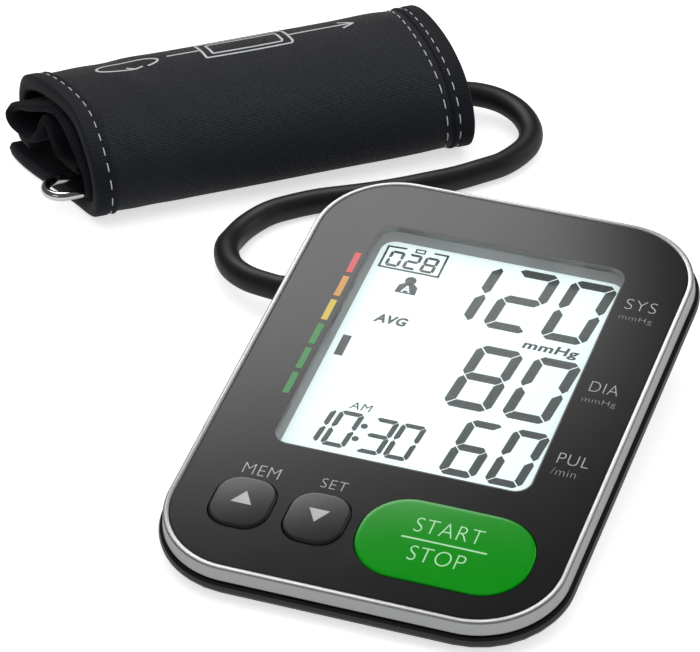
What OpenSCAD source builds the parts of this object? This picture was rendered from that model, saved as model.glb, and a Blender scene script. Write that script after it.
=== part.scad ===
// Desk blood pressure monitor: a sloping case with a display and three buttons,
// joined by a short air hose to a rolled upper-arm cuff.
// The table is z = 0, the case stands at the origin, and its front faces -Y.

/* [Face plate] */
// Width of the face plate
plate_w = 99; // [96:1:104]
// Length of the face plate along its slope
plate_l = 143; // [140:1:150]
// Corner radius of the face plate
plate_r = 20; // [16:1:24]
// Thickness of the face plate
plate_t = 1.6; // [1.2:0.1:2]
// Height of the face plate's front edge above the table
front_h = 10.7; // [10.2:0.5:14.2]
// Slope of the face, which rises to the back
face_tilt = 9.5; // [8.5:0.5:11]

/* [Trim ring] */
// Gap between the face plate and the ring
ring_gap = 0.25; // [0.15:0.05:0.4]
// Width of the ring's flat lip
ring_lip = 1.1; // [0.8:0.1:1.4]
// How far the ring's foot stands out from the face plate
ring_out = 2.1; // [1.8:0.1:2.5]
// Height of the ring
ring_drop = 3.9; // [3.4:0.1:4.4]

/* [Case] */
// How far the rim stands out from the face plate
rim_out = 3.3; // [3:0.1:4]
// Depth of the rim's lower edge under the face
rim_drop = 6.8; // [6.4:0.1:7.2]
// Height of the shadow groove under the ring
groove_h = 0.6; // [0.4:0.1:1]
// Wall thickness of the mouldings
wall = 2; // [1.6:0.1:2.4]
// Thickness of the deck under the face plate
deck_t = 2; // [1.6:0.1:2.2]
// Width of the flat base
base_w = 83; // [82:1:88]
// Length of the flat base
base_l = 137; // [136:1:140]
// Place of the base's centre, front to back
base_y = 1.5; // [0:0.5:2.5]
// Width across the cheeks of the battery belly at their front
cheek_w = 94; // [90:1:96]
// Place of the front of the cheeks
cheek_y = 5; // [0:1:10]

/* [Display] */
// Width of the display opening
window_w = 67.3; // [60:0.1:70]
// Length of the display opening
window_l = 84.4; // [78:0.1:86]
// Place of the opening's centre on the face
window_y = 13.6; // [12:0.1:15]
// Corner radius of the opening
window_r = 4.5; // [3:0.5:6]
// Depth of the display glass under the face
lcd_drop = 5; // [4.6:0.1:5.2]
// Thickness of the display glass
lcd_t = 2.2; // [1.8:0.1:2.4]
// Thickness of the light guide behind it
light_t = 1.8; // [1.4:0.1:2]

/* [Buttons] */
// Width of the two small buttons
key_w = 15.5; // [14:0.1:16]
// Length of the two small buttons
key_l = 16.7; // [15:0.1:17.5]
// Corner radius of the small buttons
key_r = 6; // [4:0.5:7]
// Place of the memory button across the face
mem_x = -32.2; // [-34:0.1:-31]
// Place of the set button across the face
set_x = -12.9; // [-14:0.1:-12]
// Place of the start button across the face
start_x = 20; // [18:0.1:22]
// Width of the start button
start_w = 44.2; // [40:0.1:45]
// Length of the start button
start_l = 26.1; // [23:0.1:26.5]
// Corner radius of the start button
start_r = 12; // [8:0.5:12.5]
// Place of the row of buttons on the face
keys_y = -50.8; // [-51.5:0.1:-50]
// How far the buttons stand proud
key_rise = 0.8; // [0.4:0.1:1.4]
// Travel of a button
key_travel = 0.6; // [0.3:0.1:0.7]
// Gap round a button
key_gap = 0.25; // [0.15:0.05:0.4]

/* [Batteries] */
// Diameter of a battery
cell_d = 10.5; // [10:0.1:10.8]
// Length of a battery
cell_l = 44.5; // [43:0.1:45]
// Distance from one battery to the next
cell_pitch = 10.9; // [10.85:0.05:11.2]
// Number of batteries
cells = 4; // [2:1:4]
// How far the battery door slides to come off
door_slide = 12; // [8:1:12]

/* [Air parts] */
// Diameter of the pump's motor
pump_d = 14; // [12:0.5:14.5]
// Bore of the air socket
socket_bore = 6; // [5.6:0.1:6.4]
// Height of the air socket's axis above the table
socket_z = 9; // [8:0.5:10]
// Place of the air socket, front to back
socket_y = 49; // [47:0.5:50]
// Diameter of the hose
hose_d = 7; // [6:0.5:7.5]
// Bore of the hose
hose_bore = 3.2; // [2.5:0.1:4]

/* [Cuff] */
// Width of the cuff along its roll
cuff_l = 112; // [100:1:120]
// Thickness of the padded outer cover
cover_t = 3.4; // [2.8:0.1:3.6]
// Thickness of the folded tail inside
fold_t = 2.6; // [2:0.1:2.8]
// How far the folded tail stands out of the left end
fold_out = 12; // [6:1:14]
// Thickness of the hem tape
hem_t = 0.6; // [0.4:0.1:0.8]
// Width of the hem tape on the cover
hem_w = 7; // [5:0.5:9]
// Wire diameter of the metal loop
wire_d = 2.6; // [2:0.1:3]

/* [Hidden] */
$fn = 48;
eps = 0.01;
seat = 0.3;

// height of the face plate's centre
face_h = front_h + plate_l / 2 * sin(face_tilt);

// case, in the face's own frame unless named otherwise
foot_h = 1.6;
floor_t = 2;
floor_z = foot_h + floor_t;
deck_z = -plate_t - deck_t;
base_r = 14;
lip_in = 0.6;
band_out = rim_out - lip_in;
tongue_t = 0.4;

// display stack, measured down from the face
glass_z = -lcd_drop - lcd_t;
light_z = glass_z - light_t;
board_t = 1.6;
board_z = light_z - 0.3 - board_t;
board_y0 = -30;
board_y1 = 16;
board_w = 84;
bezel_in = 0.7;
bezel_t = 1.6;

// keys
key_flange = 1.1;
flange_t = 0.8;
flange_z = deck_z - 0.1 - flange_t;
switch_gap = 0.4;
switch_t = 1.8;
switch_w = 6;
plunger_d = 3;
key_board_t = 1;
switch_z = flange_z - key_travel - switch_gap - switch_t;
key_board_w = 72;
key_board_l = 20.8;
crown_drop = 0.5;
stake_xs = [(mem_x + set_x) / 2, -3.2];
stake_out = 8.8;

// batteries, in the table's frame
cell_z = floor_z + 1.7 + cell_d / 2;
cells_x = 9.2;
cells_w = cell_pitch * cells;
cells_y1 = base_y + base_l / 2 - 4.5;
cells_y0 = cells_y1 - cell_l;
spring_l = 3;
tab_t = 0.6;
door_gap = 0.3;
door_w = cells_w + 1;
door_y0 = cells_y0 - 5.2;
door_y1 = base_y + base_l / 2;
door_t = 1.8;
hook_l = 6;
hook_t = 1;
hook_out = 1.2;
hook_ys = [door_y0 + 6.2, door_y0 + 30.2];
tray_wall = 1;
tray_h = 8.5;

// air parts, in the table's frame
pump_x = -23;
pump_y0 = base_y + base_l / 2 - 40;
head_l = 12;
motor_l = 24;
socket_d = 10;
socket_x0 = -46.5;
socket_x1 = -36;
tee = 5.4;
tee_x = socket_x1 + tee / 2;
tube_d = 4;
valve_y0 = socket_y + 4;
plug_d = 10;
plug_l = 11;
nose_l = 8.5;
nose_d = socket_bore - 0.2;
seal_d = 1.2;
feet = [[-33, -58], [33, -58], [0, 0], [-26, 62], [37, 42]];
posts = [[-37.3, -33.9], [37.3, -33.9], [-36.6, 62], [36.6, 58]];
foot_d = 7;
post_d = 5.6;
screw_d = 2.4;
screw_grip = 4;
screw_l = 6.5;

// cuff: its place on the table, its turn, and the middle line of its cross-section,
// as [across, up] points
cuff_pos = [-97.7, 126.9];
cuff_turn = 40;
low = hem_t + cover_t / 2 + 0.06;
overlap = cover_t + 2 * hem_t + 0.5;
cover_path = [[21, low], [6, low], [-8, low], [-18, low + 0.8], [-24.6, 6.6], [-26.4, 12.2],
    [-24, 18], [-17.5, 23.4], [-8, 26.4], [3, 26.9], [14, 25.4], [22.6, 21.4], [26.4, 15],
    [25.6, 10.2], [20.8, 7.8], [12.6, low + overlap]];
tail_path = [[-6.2, 6.8], [-1, 6.4], [4.8, 6.4], [6.6, 7.2], [7.3, 8.9], [6.6, 10.6], [4.8, 11.4],
    [-1, 11.4], [-8.4, 11.2], [-14.4, 12.6], [-17, 15.5], [-14.4, 18.2], [-8, 18.2], [0, 16.4],
    [8.4, 14.6], [15, 14.8], [17.4, 17.6], [14.6, 20.4], [8, 21.8], [-2, 22.4], [-9, 21.8]];
nipple_x = cuff_l / 2 - 4;
tail_x1 = nipple_x - 10;
nipple_y = -3.6;
nipple_z = 8.4;
nipple_d = 6.4;
loop_bars = [-18.2, -9];
loop_z = 8;
loop_x0 = -cuff_l / 2 - 10;
loop_x1 = cuff_l / 2 + 2;
bladder_t = 1;
pocket_gap = 0.25;
cover_x = cuff_l / 2 - hem_w;
pocket_x = cover_x - 6;

// route of the hose's middle line, from the plug to the cuff
hose_route = [[-57.8, 49, 9], [-59.8, 49, 9], [-62.3, 49, 9], [-70.5, 50.7, 8.9], [-77.2, 55.5, 8.5],
    [-82.1, 64.8, 7], [-83.7, 74.2, 4.6], [-82.9, 82.5, 3.9], [-79.7, 90.2, 3.9],
    [-75.1, 96.2, 3.6], [-69.2, 101.2, 3.7], [-62.5, 105.8, 3.6], [-55.9, 110.2, 3.6],
    [-49.6, 115, 3.6], [-43.6, 120.1, 3.6], [-37.5, 125.2, 3.7], [-32, 130.5, 4.1],
    [-26.7, 137.2, 4.2], [-23.5, 146.8, 4.5], [-24.8, 154.8, 4.9], [-29.7, 161.3, 5.8],
    [-36.6, 164.6, 6.9], [-44.1, 164.5, 7.8], [-50.99, 161.39, 8.4], [-54.02, 158.86, 8.4],
    [-55.55, 157.57, 8.4]];
hose_steps = 2;
hose_sides = 10;

// ---- helpers ----

// Places its children on the sloping face: z = 0 is the plate's outer surface.
module on_face() {
    translate([0, 0, face_h])
        rotate([face_tilt, 0, 0])
            children();
}

// Outline of a rectangle with round corners, centred.
module round_rect(w, l, r) {
    square([w - 2 * r, l], center = true);
    square([w, l - 2 * r], center = true);
    for (x = [-1, 1], y = [-1, 1])
        translate([x * (w / 2 - r), y * (l / 2 - r)])
            circle(r);
}

// Slab with that outline, from z0 up to z1.
module slab(w, l, r, z0, z1) {
    translate([0, 0, z0])
        linear_extrude(z1 - z0)
            round_rect(w, l, r);
}

// Slab that follows the face plate's outline, grown by out.
module plate_slab(out, z0, z1) {
    slab(plate_w + 2 * out, plate_l + 2 * out, plate_r + out, z0, z1);
}

// Carries a profile round a rectangle with round corners.
// The profile's x is how far out it lies, and its y is the height.
module frame_sweep(w, l, r) {
    for (side = [0 : 3])
        rotate([0, 0, 90 * side])
            frame_side(side % 2 == 0 ? w : l, side % 2 == 0 ? l : w, r)
                children();
}

module frame_side(across, along, r) {
    translate([across / 2, 0, 0])
        rotate([90, 0, 0])
            linear_extrude(along - 2 * r, center = true)
                children();
    translate([across / 2 - r, along / 2 - r, 0])
        rotate_extrude(angle = 90)
            translate([r, 0])
                children();
}

function mix(a, b, t) = a + (b - a) * t;
function unit(v) = v / norm(v);

// Smooth curve through points, with steps between each two.
function spline_at(a, b, c, d, t) =
    0.5 * (2 * b + (c - a) * t + (2 * a - 5 * b + 4 * c - d) * t * t
        + (3 * b - a - 3 * c + d) * t * t * t);
function smooth(p, steps) = [
    for (i = [0 : len(p) - 2], k = [0 : steps - 1])
        spline_at(p[max(i - 1, 0)], p[i], p[i + 1], p[min(i + 2, len(p) - 1)], k / steps),
    p[len(p) - 1]
];

function heading(p, i) = unit(p[min(i + 1, len(p) - 1)] - p[max(i - 1, 0)]);
function left_of(v) = [-v[1], v[0]];

// Outline of a strip of cloth of thickness t whose middle line is path.
function strip(path, t) = concat(
    [for (i = [0 : len(path) - 1]) path[i] + left_of(heading(path, i)) * t / 2],
    [for (i = [len(path) - 1 : -1 : 0]) path[i] - left_of(heading(path, i)) * t / 2]);

// The stretch of a path from share a to share b of its points.
function stretch(path, a, b) = [
    for (i = [round(a * (len(path) - 1)) : round(b * (len(path) - 1))]) path[i]];

cover_line = smooth(cover_path, 4);
tail_line = smooth(tail_path, 4);

// Places its children in the cuff's frame: x runs along the roll, z up.
module in_cuff() {
    translate([cuff_pos[0], cuff_pos[1], 0])
        rotate([0, 0, cuff_turn])
            children();
}

// Carries a cross-section along the roll, from x0 to x1.
module along_roll(x0, x1) {
    translate([x0, 0, 0])
        rotate([90, 0, 90])
            linear_extrude(x1 - x0)
                children();
}

// Rod along X from x0 to x1.
module rod_x(x0, x1, d) {
    translate([x0, 0, 0])
        rotate([0, 90, 0])
            cylinder(h = x1 - x0, d = d);
}

// Rod along Y from y0 to y1.
module rod_y(y0, y1, d) {
    translate([0, y0, 0])
        rotate([-90, 0, 0])
            cylinder(h = y1 - y0, d = d);
}

// ---- face, ring and case ----

module face_plate() {
    color("#202224")
        on_face()
            difference() {
                plate_slab(0, -plate_t, 0);
                window_hole(-plate_t - 1, 1);
                key_holes(-plate_t - 1, 1, key_gap);
            }
}

module window_hole(z0, z1) {
    translate([0, window_y, 0])
        slab(window_w, window_l, window_r, z0, z1);
}

module key_holes(z0, z1, gap) {
    for (x = [mem_x, set_x])
        translate([x, keys_y, 0])
            slab(key_w + 2 * gap, key_l + 2 * gap, key_r + gap, z0, z1);
    translate([start_x, keys_y, 0])
        slab(start_w + 2 * gap, start_l + 2 * gap, start_r + gap, z0, z1);
}

module display_window() {
    gap = 0.05;
    color("#dfe8ea", 0.3)
        on_face()
            translate([0, window_y, 0])
                slab(window_w - 2 * gap, window_l - 2 * gap, window_r - gap, -plate_t, 0);
}

// The ring's section: a flat lip, a rounded edge and a band that flares to its foot.
module ring_profile() {
    edge = 0.45;
    lip_x = ring_gap + ring_lip;
    polygon(concat(
        [[ring_gap, -ring_drop], [ring_gap, 0], [lip_x, 0]],
        [for (a = [75 : -15 : 15]) [lip_x + edge * cos(a), edge * sin(a) - edge]],
        [[ring_out, -ring_drop + 0.25], [ring_out - 0.15, -ring_drop]]));
}

module trim_ring() {
    color("#c4c6c8")
        on_face()
            frame_sweep(plate_w, plate_l, plate_r)
                ring_profile();
}

// The rim's section: the shelf that the ring stands on, the groove and the round band.
module rim_profile() {
    shelf = ring_out - 0.9;
    top = -ring_drop - groove_h;
    mid = (top - rim_drop) / 2 - 0.1;
    polygon([[-wall, deck_z + 0.5], [0, deck_z + 0.5], [0, -ring_drop], [shelf, -ring_drop],
        [shelf, top], [ring_out + 0.1, top], [rim_out - 0.35, top - 0.3],
        [rim_out, mid], [rim_out - 0.1, mid - 0.6], [band_out + 0.2, -rim_drop],
        [band_out - wall, -rim_drop], [band_out - wall, top - 0.6], [-wall, deck_z - 0.4]]);
}

module upper_case() {
    color("#1b1c1e")
        difference() {
            union() {
                on_face() {
                    plate_slab(0, deck_z, -plate_t);
                    frame_sweep(plate_w, plate_l, plate_r)
                        rim_profile();
                    board_bosses(4.4, board_z + board_t, deck_z + 0.5);
                    for (x = stake_xs, side = [-1, 1])
                        translate([x, keys_y + side * stake_out, switch_z])
                            cylinder(h = deck_z + 0.5 - switch_z, d = 3);
                }
                upper_posts();
            }
            on_face() {
                window_hole(deck_z - 1, 0);
                key_holes(deck_z - 1, 0, key_gap);
                board_bosses(screw_d - 0.4, board_z, board_z + board_t + 2.4);
            }
            for (p = posts)
                translate([p[0], p[1], rim_at(p[1]) - 2])
                    cylinder(h = 2 + screw_l - screw_grip + 0.4, d = screw_d - 0.4);
        }
}

// Rods at the main board's four screws, in the face's frame.
module board_bosses(d, z0, z1) {
    for (x = [-1, 1], y = [board_y0 + 4, board_y1 - 4])
        translate([x * (board_w / 2 - 4), y, z0])
            cylinder(h = z1 - z0, d = d);
}

// Height of the rim's lower edge above the table at a place y on the table.
function rim_at(y) = face_h + y * tan(face_tilt) - rim_drop / cos(face_tilt);

// Upright posts that hang from the deck to the rim's lower edge.
module upper_posts() {
    intersection() {
        for (p = posts)
            translate([p[0], p[1], 0])
                cylinder(h = 60, d = post_d);
        on_face()
            translate([-plate_w, -plate_l, -rim_drop])
                cube([2 * plate_w, 2 * plate_l, rim_drop + deck_z + 0.5]);
    }
}

// The base's outer form: the rim's tilted outline drawn down to the smaller flat base.
module base_form(shrink, z0, under, over) {
    hull() {
        on_face()
            plate_slab(band_out - shrink, -rim_drop - under, over - rim_drop, $fn = 32);
        translate([0, base_y, 0])
            slab(base_w - 2 * shrink, base_l - 2 * shrink, base_r - shrink, z0, z0 + 0.4, $fn = 32);
    }
}

// The belly's cheeks, which narrow to the back.
module cheek_form(shrink, z0, under, over) {
    back = base_y + base_l / 2 - base_r;
    w0 = cheek_w - 2 * shrink;
    w1 = base_w - 2 * shrink;
    y0 = cheek_y + shrink;
    hull() {
        on_face()
            translate([0, (y0 + back) / 2, 0])
                slab(plate_w - 2 * shrink, back - y0, 2, -rim_drop - under, over - rim_drop,
                    $fn = 32);
        translate([0, 0, z0])
            linear_extrude(0.4)
                polygon([[-w0 / 2, y0], [w0 / 2, y0], [w1 / 2, back], [-w1 / 2, back]]);
    }
}

module lower_case() {
    color("#161718")
        difference() {
            union() {
                difference() {
                    union() {
                        base_form(0, foot_h, tongue_t, 0);
                        cheek_form(0, foot_h, tongue_t, -0.1);
                    }
                    base_form(wall, floor_z, 0, 1);
                    cheek_form(wall, floor_z, 0, 1);
                }
                lower_posts();
                battery_walls();
                pump_cradle();
                key_props();
            }
            door_opening();
            foot_pockets();
            screw_ways();
            translate([0, socket_y, socket_z])
                rod_x(-60, socket_x1 - 2, socket_d + 0.4);
        }
}

// Posts from the floor up to the posts of the upper case.
module lower_posts() {
    intersection() {
        for (p = posts)
            translate([p[0], p[1], floor_z - eps])
                cylinder(h = 60, d = post_d + 0.8);
        on_face()
            translate([-plate_w, -plate_l, -rim_drop - 60])
                cube([2 * plate_w, 2 * plate_l, 60]);
    }
}

// Short posts under the three switches.
module key_props() {
    intersection() {
        for (x = [mem_x, set_x, start_x])
            translate([x, keys_y * cos(face_tilt) - 1, floor_z - eps])
                cylinder(h = 30, d = 5);
        on_face()
            translate([-plate_w, -plate_l, switch_z - key_board_t - 60])
                cube([2 * plate_w, 2 * plate_l, 60]);
    }
}

module screw_ways() {
    for (p = posts)
        translate([p[0], p[1], -1]) {
            cylinder(h = 80, d = screw_d + 0.4);
            cylinder(h = 1 + rim_at(p[1]) - screw_grip, d = 4.6);
        }
}

module foot_pockets() {
    for (p = feet)
        translate([p[0], p[1], -1])
            cylinder(h = foot_h + 1.6, d = foot_d + 0.4);
}

// Low walls that hold the batteries on four sides.
module battery_walls() {
    inner = cells_w / 2 + hook_out + 0.9;
    y0 = cells_y0 - spring_l - tray_wall;
    y1 = cells_y1 + tab_t;
    translate([cells_x, 0, floor_z - eps]) {
        for (side = [-1, 1])
            translate([side * (inner + tray_wall / 2) - tray_wall / 2, y0, 0])
                cube([tray_wall, y1 + tray_wall - y0, tray_h]);
        for (y = [y0, y1])
            translate([-inner - tray_wall / 2, y, 0])
                cube([2 * inner + tray_wall, tray_wall, tray_h]);
    }
}

// Two ribs with round seats that carry the pump's motor.
module pump_cradle() {
    for (y = [44, 60])
        translate([pump_x, y, 0])
            difference() {
                translate([-5, -1, floor_z - eps])
                    cube([10, 2, 3]);
                translate([0, 0, pump_z()])
                    rod_y(-2, 2, pump_d + 0.4);
            }
}

function pump_z() = floor_z + 0.6 + pump_d / 2;

module door_opening() {
    side = door_w / 2 + door_gap;
    translate([cells_x - side, door_y0 - door_gap, foot_h - 1])
        cube([2 * side, door_y1 - door_y0 + 5, floor_t + 1 + eps]);
    for (y = hook_ys, s = [-1, 1])
        translate([cells_x + s * side - hook_out, y + door_slide - 0.3, foot_h - 1])
            cube([2 * hook_out, hook_l + 0.6, floor_t + 1 + eps]);
}

module battery_door() {
    color("#1d1e20")
        translate([cells_x, 0, 0])
            difference() {
                union() {
                    translate([-door_w / 2, door_y0, foot_h])
                        cube([door_w, door_y1 - door_y0 - 0.2, door_t]);
                    for (y = hook_ys) {
                        translate([0, y, 0])
                            door_hook();
                        mirror([1, 0, 0])
                            translate([0, y, 0])
                                door_hook();
                    }
                }
                for (k = [0 : 4])
                    translate([-9, door_y1 - 9 - 2.4 * k, foot_h - eps])
                        cube([18, 1.1, 0.5]);
            }
}

// A hook that stands on the door's edge and reaches over the edge of the floor.
module door_hook() {
    translate([door_w / 2 - hook_t, 0, foot_h + 1])
        cube([hook_t, hook_l, floor_t - 0.8 + hook_t]);
    translate([door_w / 2 - hook_t, 0, floor_z + 0.2])
        cube([hook_t + hook_out, hook_l, hook_t]);
}

module rubber_feet() {
    color("#2b2b2b")
        for (p = feet)
            translate([p[0], p[1], 0])
                cylinder(h = foot_h + 0.6, d = foot_d);
}

module case_screws() {
    color("#8f9296")
        for (p = posts)
            translate([p[0], p[1], rim_at(p[1]) - screw_grip - 1.2])
                screw(screw_l);
}

// Pan-head screw, head down.
module screw(shank) {
    difference() {
        cylinder(h = 1.2, d = 4.2);
        for (a = [0, 90])
            rotate([0, 0, a])
                translate([-1.2, -0.3, -eps])
                    cube([2.4, 0.6, 0.7]);
    }
    cylinder(h = 1.2 + shank, d = screw_d - 0.6);
}

// ---- display ----

// The light frame between the window and the glass, whose walls lean inwards.
module display_bezel() {
    in_w = window_w - 2 * bezel_in;
    in_l = window_l - 2 * bezel_in;
    color("#a9adb0")
        on_face()
            translate([0, window_y, 0])
                frame_sweep(window_w, window_l, window_r)
                    polygon([[0 - 0.05, -plate_t - seat / 3], [-0.05, deck_z], [bezel_t, deck_z],
                        [bezel_t, -lcd_drop - lcd_t], [0.6, -lcd_drop - lcd_t], [0.6, -lcd_drop],
                        [-bezel_in, -lcd_drop], [-0.25, -plate_t - seat / 3]]);
}

module display_glass() {
    gap = 0.4;
    color("#e9f6f6")
        on_face()
            translate([0, window_y, 0])
                slab(window_w + 2 * gap, window_l + 2 * gap, window_r, glass_z, -lcd_drop);
}

module light_guide() {
    color("#f4fbff")
        on_face()
            translate([0, window_y, 0])
                translate([0, 2.3, 0])
                    slab(window_w + 2, window_l - 2.6, window_r, light_z, glass_z);
}

module display_connector() {
    color("#d8c9a8")
        on_face()
            translate([-window_w / 2 + 6, board_y0 + 1, board_z + board_t])
                cube([window_w - 12, 3, glass_z - board_z - board_t]);
}

// ---- boards and keys ----

module main_board() {
    color("#1f6b3a")
        on_face()
            difference() {
                translate([-board_w / 2, board_y0, board_z])
                    cube([board_w, board_y1 - board_y0, board_t]);
                for (x = [-1, 1], y = [board_y0 + 4, board_y1 - 4])
                    translate([x * (board_w / 2 - 4), y, board_z - 1])
                        cylinder(h = board_t + 2, d = 2.6);
            }
}

module board_chips() {
    color("#26282a")
        on_face() {
            chip(-20, -8, 12, 12, 1.6);
            chip(8, -4, 8, 10, 1.4);
            chip(26, -16, 6, 5, 1.2);
            chip(-36, 4, 5, 8, 1.8);
        }
}

// Flat chip under the main board with a row of legs on two sides.
module chip(x, y, w, l, t) {
    translate([x - w / 2, y - l / 2, board_z - t])
        cube([w, l, t]);
    for (k = [0 : floor(l / 1.6) - 1])
        translate([x - w / 2 - 0.8, y - l / 2 + 0.6 + 1.6 * k, board_z - 0.5])
            cube([w + 1.6, 0.6, 0.5]);
}

module board_screws() {
    color("#9a9da1")
        on_face()
            for (x = [-1, 1], y = [board_y0 + 4, board_y1 - 4])
                translate([x * (board_w / 2 - 4), y, board_z - 1.2])
                    screw(board_t + 1.6);
}

module key_board() {
    color("#1f6b3a")
        on_face()
            translate([-key_board_w / 2, keys_y - key_board_l / 2, switch_z - key_board_t])
                cube([key_board_w, key_board_l, key_board_t]);
}

module key_switches() {
    color("#3a3c3f")
        on_face()
            for (x = [mem_x, set_x, start_x])
                translate([x, keys_y, 0])
                    difference() {
                        translate([-switch_w / 2, -switch_w / 2, switch_z])
                            cube([switch_w, switch_w, switch_t]);
                        translate([0, 0, switch_z - 1])
                            cylinder(h = switch_t + 2, d = plunger_d + 0.2);
                    }
}

// A button: a crowned cap on a flange that the deck holds.
module button(x, w, l, r) {
    on_face()
        translate([x, keys_y, 0]) {
            intersection() {
                slab(w, l, r, flange_z + flange_t / 2, key_rise);
                crown(w);
                rotate([0, 0, 90])
                    crown(l);
            }
            slab(w + 2 * key_flange, l + 2 * key_flange, r + key_flange, flange_z,
                flange_z + flange_t);
        }
}

// Wide rod whose top gives a button of width w its gentle crown.
module crown(w) {
    r = w * w / 8 / crown_drop;
    translate([0, 0, key_rise - r])
        rod_y(-60, 60, 2 * r, $fn = 360);
}

module mem_button() {
    color("#2a2b2d")
        button(mem_x, key_w, key_l, key_r);
}

module set_button() {
    color("#2a2b2d")
        button(set_x, key_w, key_l, key_r);
}

module start_button() {
    color("#0c9a2c")
        button(start_x, start_w, start_l, start_r);
}

// The pin of a switch, which its button pushes down.
module plunger(x) {
    color("#e8e6e0")
        on_face()
            translate([x, keys_y, switch_z + switch_t - 0.8])
                cylinder(h = flange_z - switch_z - switch_t + 0.8, d = plunger_d);
}

module buzzer() {
    color("#1c1c1c")
        on_face()
            translate([26, 4, board_z - 3])
                difference() {
                    cylinder(h = 3, d = 12);
                    translate([0, 0, -1])
                        cylinder(h = 2.4, d = 2.4);
                }
}

// ---- air parts ----

module pump_motor() {
    color("#b5b8bb")
        translate([pump_x, 0, pump_z()]) {
            rod_y(pump_y0 + head_l, pump_y0 + head_l + motor_l, pump_d);
            rod_y(pump_y0 + head_l + motor_l, pump_y0 + head_l + motor_l + 1.5, 4);
        }
}

module pump_head() {
    color("#e2e0da")
        translate([pump_x, 0, pump_z()]) {
            translate([-pump_d / 2 + 0.2, pump_y0, -pump_d / 2 + 0.2])
                cube([pump_d - 0.4, head_l, pump_d - 0.4]);
            translate([0, pump_y0 + 6, socket_z - pump_z()])
                rod_x(tee_x + tee / 2 - pump_x, -pump_d / 2 + 0.4, tube_d - 1);
        }
}

module air_manifold() {
    color("#d9d4c4")
        translate([tee_x, 0, socket_z]) {
            translate([-tee / 2, socket_y - tee / 2, -tee / 2])
                cube([tee, tee, tee]);
            translate([-tee / 2, pump_y0 + 6 - tee / 2, -tee / 2])
                cube([tee, tee, tee]);
            rod_y(pump_y0 + 6, socket_y, tube_d);
            rod_y(socket_y, valve_y0, tube_d);
        }
}

module release_valve() {
    color("#2f3234")
        translate([tee_x - 2.6, valve_y0, floor_z + 0.3])
            cube([5.7, 5.4, 9]);
}

module pressure_sensor() {
    color("#20303a")
        translate([socket_x1 - 5, pump_y0 + 1, floor_z + 0.3])
            cube([5, 10, 8]);
}

module air_socket() {
    color("#303234")
        translate([0, socket_y, socket_z])
            difference() {
                rod_x(socket_x0, socket_x1, socket_d);
                rod_x(socket_x0 - 1, socket_x1 - 2, socket_bore);
                rod_x(socket_x1 - 3, socket_x1 + 1, 2);
            }
}

// ---- batteries ----

module at_cells() {
    for (k = [0 : cells - 1])
        translate([cells_x + (k - (cells - 1) / 2) * cell_pitch, 0, cell_z])
            children();
}

module battery_cells() {
    color("#3c4046")
        at_cells() {
            rod_y(cells_y0, cells_y1 - 1, cell_d);
            rod_y(cells_y1 - 1 - eps, cells_y1, 3.8);
        }
}

module battery_springs() {
    color("#c9c6bd")
        at_cells() {
            rod_y(cells_y0 - spring_l, cells_y0 - spring_l + tab_t, 8);
            rod_y(cells_y0 - spring_l, cells_y0, 5);
        }
}

module battery_tabs() {
    color("#c9c6bd")
        at_cells()
            rod_y(cells_y1, cells_y1 + tab_t, 8);
}

// ---- plug and hose ----

module air_plug() {
    x0 = socket_x0 - seat;
    color("#2b2d2f")
        translate([x0, socket_y, socket_z])
            rotate([0, -90, 0])
                difference() {
                    rotate_extrude()
                        polygon([[0, -nose_l], [nose_d / 2 - 0.4, -nose_l],
                            [nose_d / 2, -nose_l + 0.4], [nose_d / 2, -5.2],
                            [nose_d / 2 - 1.25, -5.2], [nose_d / 2 - 1.25, -3.8],
                            [nose_d / 2, -3.8], [nose_d / 2, 0], [plug_d / 2, 0],
                            [plug_d / 2, 3], [plug_d / 2 - 0.8, 3.6], [plug_d / 2 - 0.8, 5],
                            [plug_d / 2 - 0.2, 5.4], [plug_d / 2 - 0.2, 6.4],
                            [plug_d / 2 - 0.8, 6.8], [plug_d / 2 - 0.8, 9.6],
                            [plug_d / 2 - 1.2, plug_l], [0, plug_l]]);
                    translate([0, 0, -nose_l - 1])
                        cylinder(h = plug_l + nose_l + 2, d = hose_bore - 1);
                }
}

module plug_seal() {
    color("#141414")
        translate([socket_x0 - seat + 4.5, socket_y, socket_z])
            rotate([0, 90, 0])
                rotate_extrude()
                    translate([socket_bore / 2 - 0.05 - seal_d / 2, 0])
                        circle(d = seal_d, $fn = 24);
}

function ring_at(p, i, d) = let(
        ahead = heading(p, i),
        side = unit(cross(ahead, [0, 0, 1])),
        top = cross(side, ahead))
    [for (k = [0 : hose_sides - 1]) let(a = 360 * (k + 0.5) / hose_sides)
        p[i] + (side * cos(a) + top * sin(a)) * d / 2];

// Tube along a line of points, as one closed skin.
module tube(p, d) {
    n = hose_sides;
    last = len(p) - 1;
    points = [for (i = [0 : last]) each ring_at(p, i, d)];
    sides = [for (i = [0 : last - 1], k = [0 : n - 1], half = [0, 1])
        let(a = i * n + k, b = i * n + (k + 1) % n)
        half == 0 ? [a, b, b + n] : [a, b + n, a + n]];
    caps = [for (k = [1 : n - 2]) each [[0, k + 1, k], [last * n, last * n + k, last * n + k + 1]]];
    polyhedron(points, concat(sides, caps));
}

module air_hose() {
    color("#1a1b1b")
        tube(smooth(hose_route, hose_steps), hose_d);
}

// ---- cuff ----

module cuff_cover() {
    pocket = stretch(cover_line, 0.16, 0.74);
    color("#15171c")
        in_cuff()
            difference() {
                along_roll(-cover_x, cover_x)
                    polygon(strip(cover_line, cover_t));
                along_roll(-pocket_x, pocket_x)
                    polygon(strip(pocket, bladder_t + 2 * pocket_gap));
            }
}

module air_bladder() {
    color("#3a3a3a")
        in_cuff()
            along_roll(seat - pocket_x, pocket_x - seat)
                polygon(strip(stretch(cover_line, 0.17, 0.73), bladder_t));
}

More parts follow.
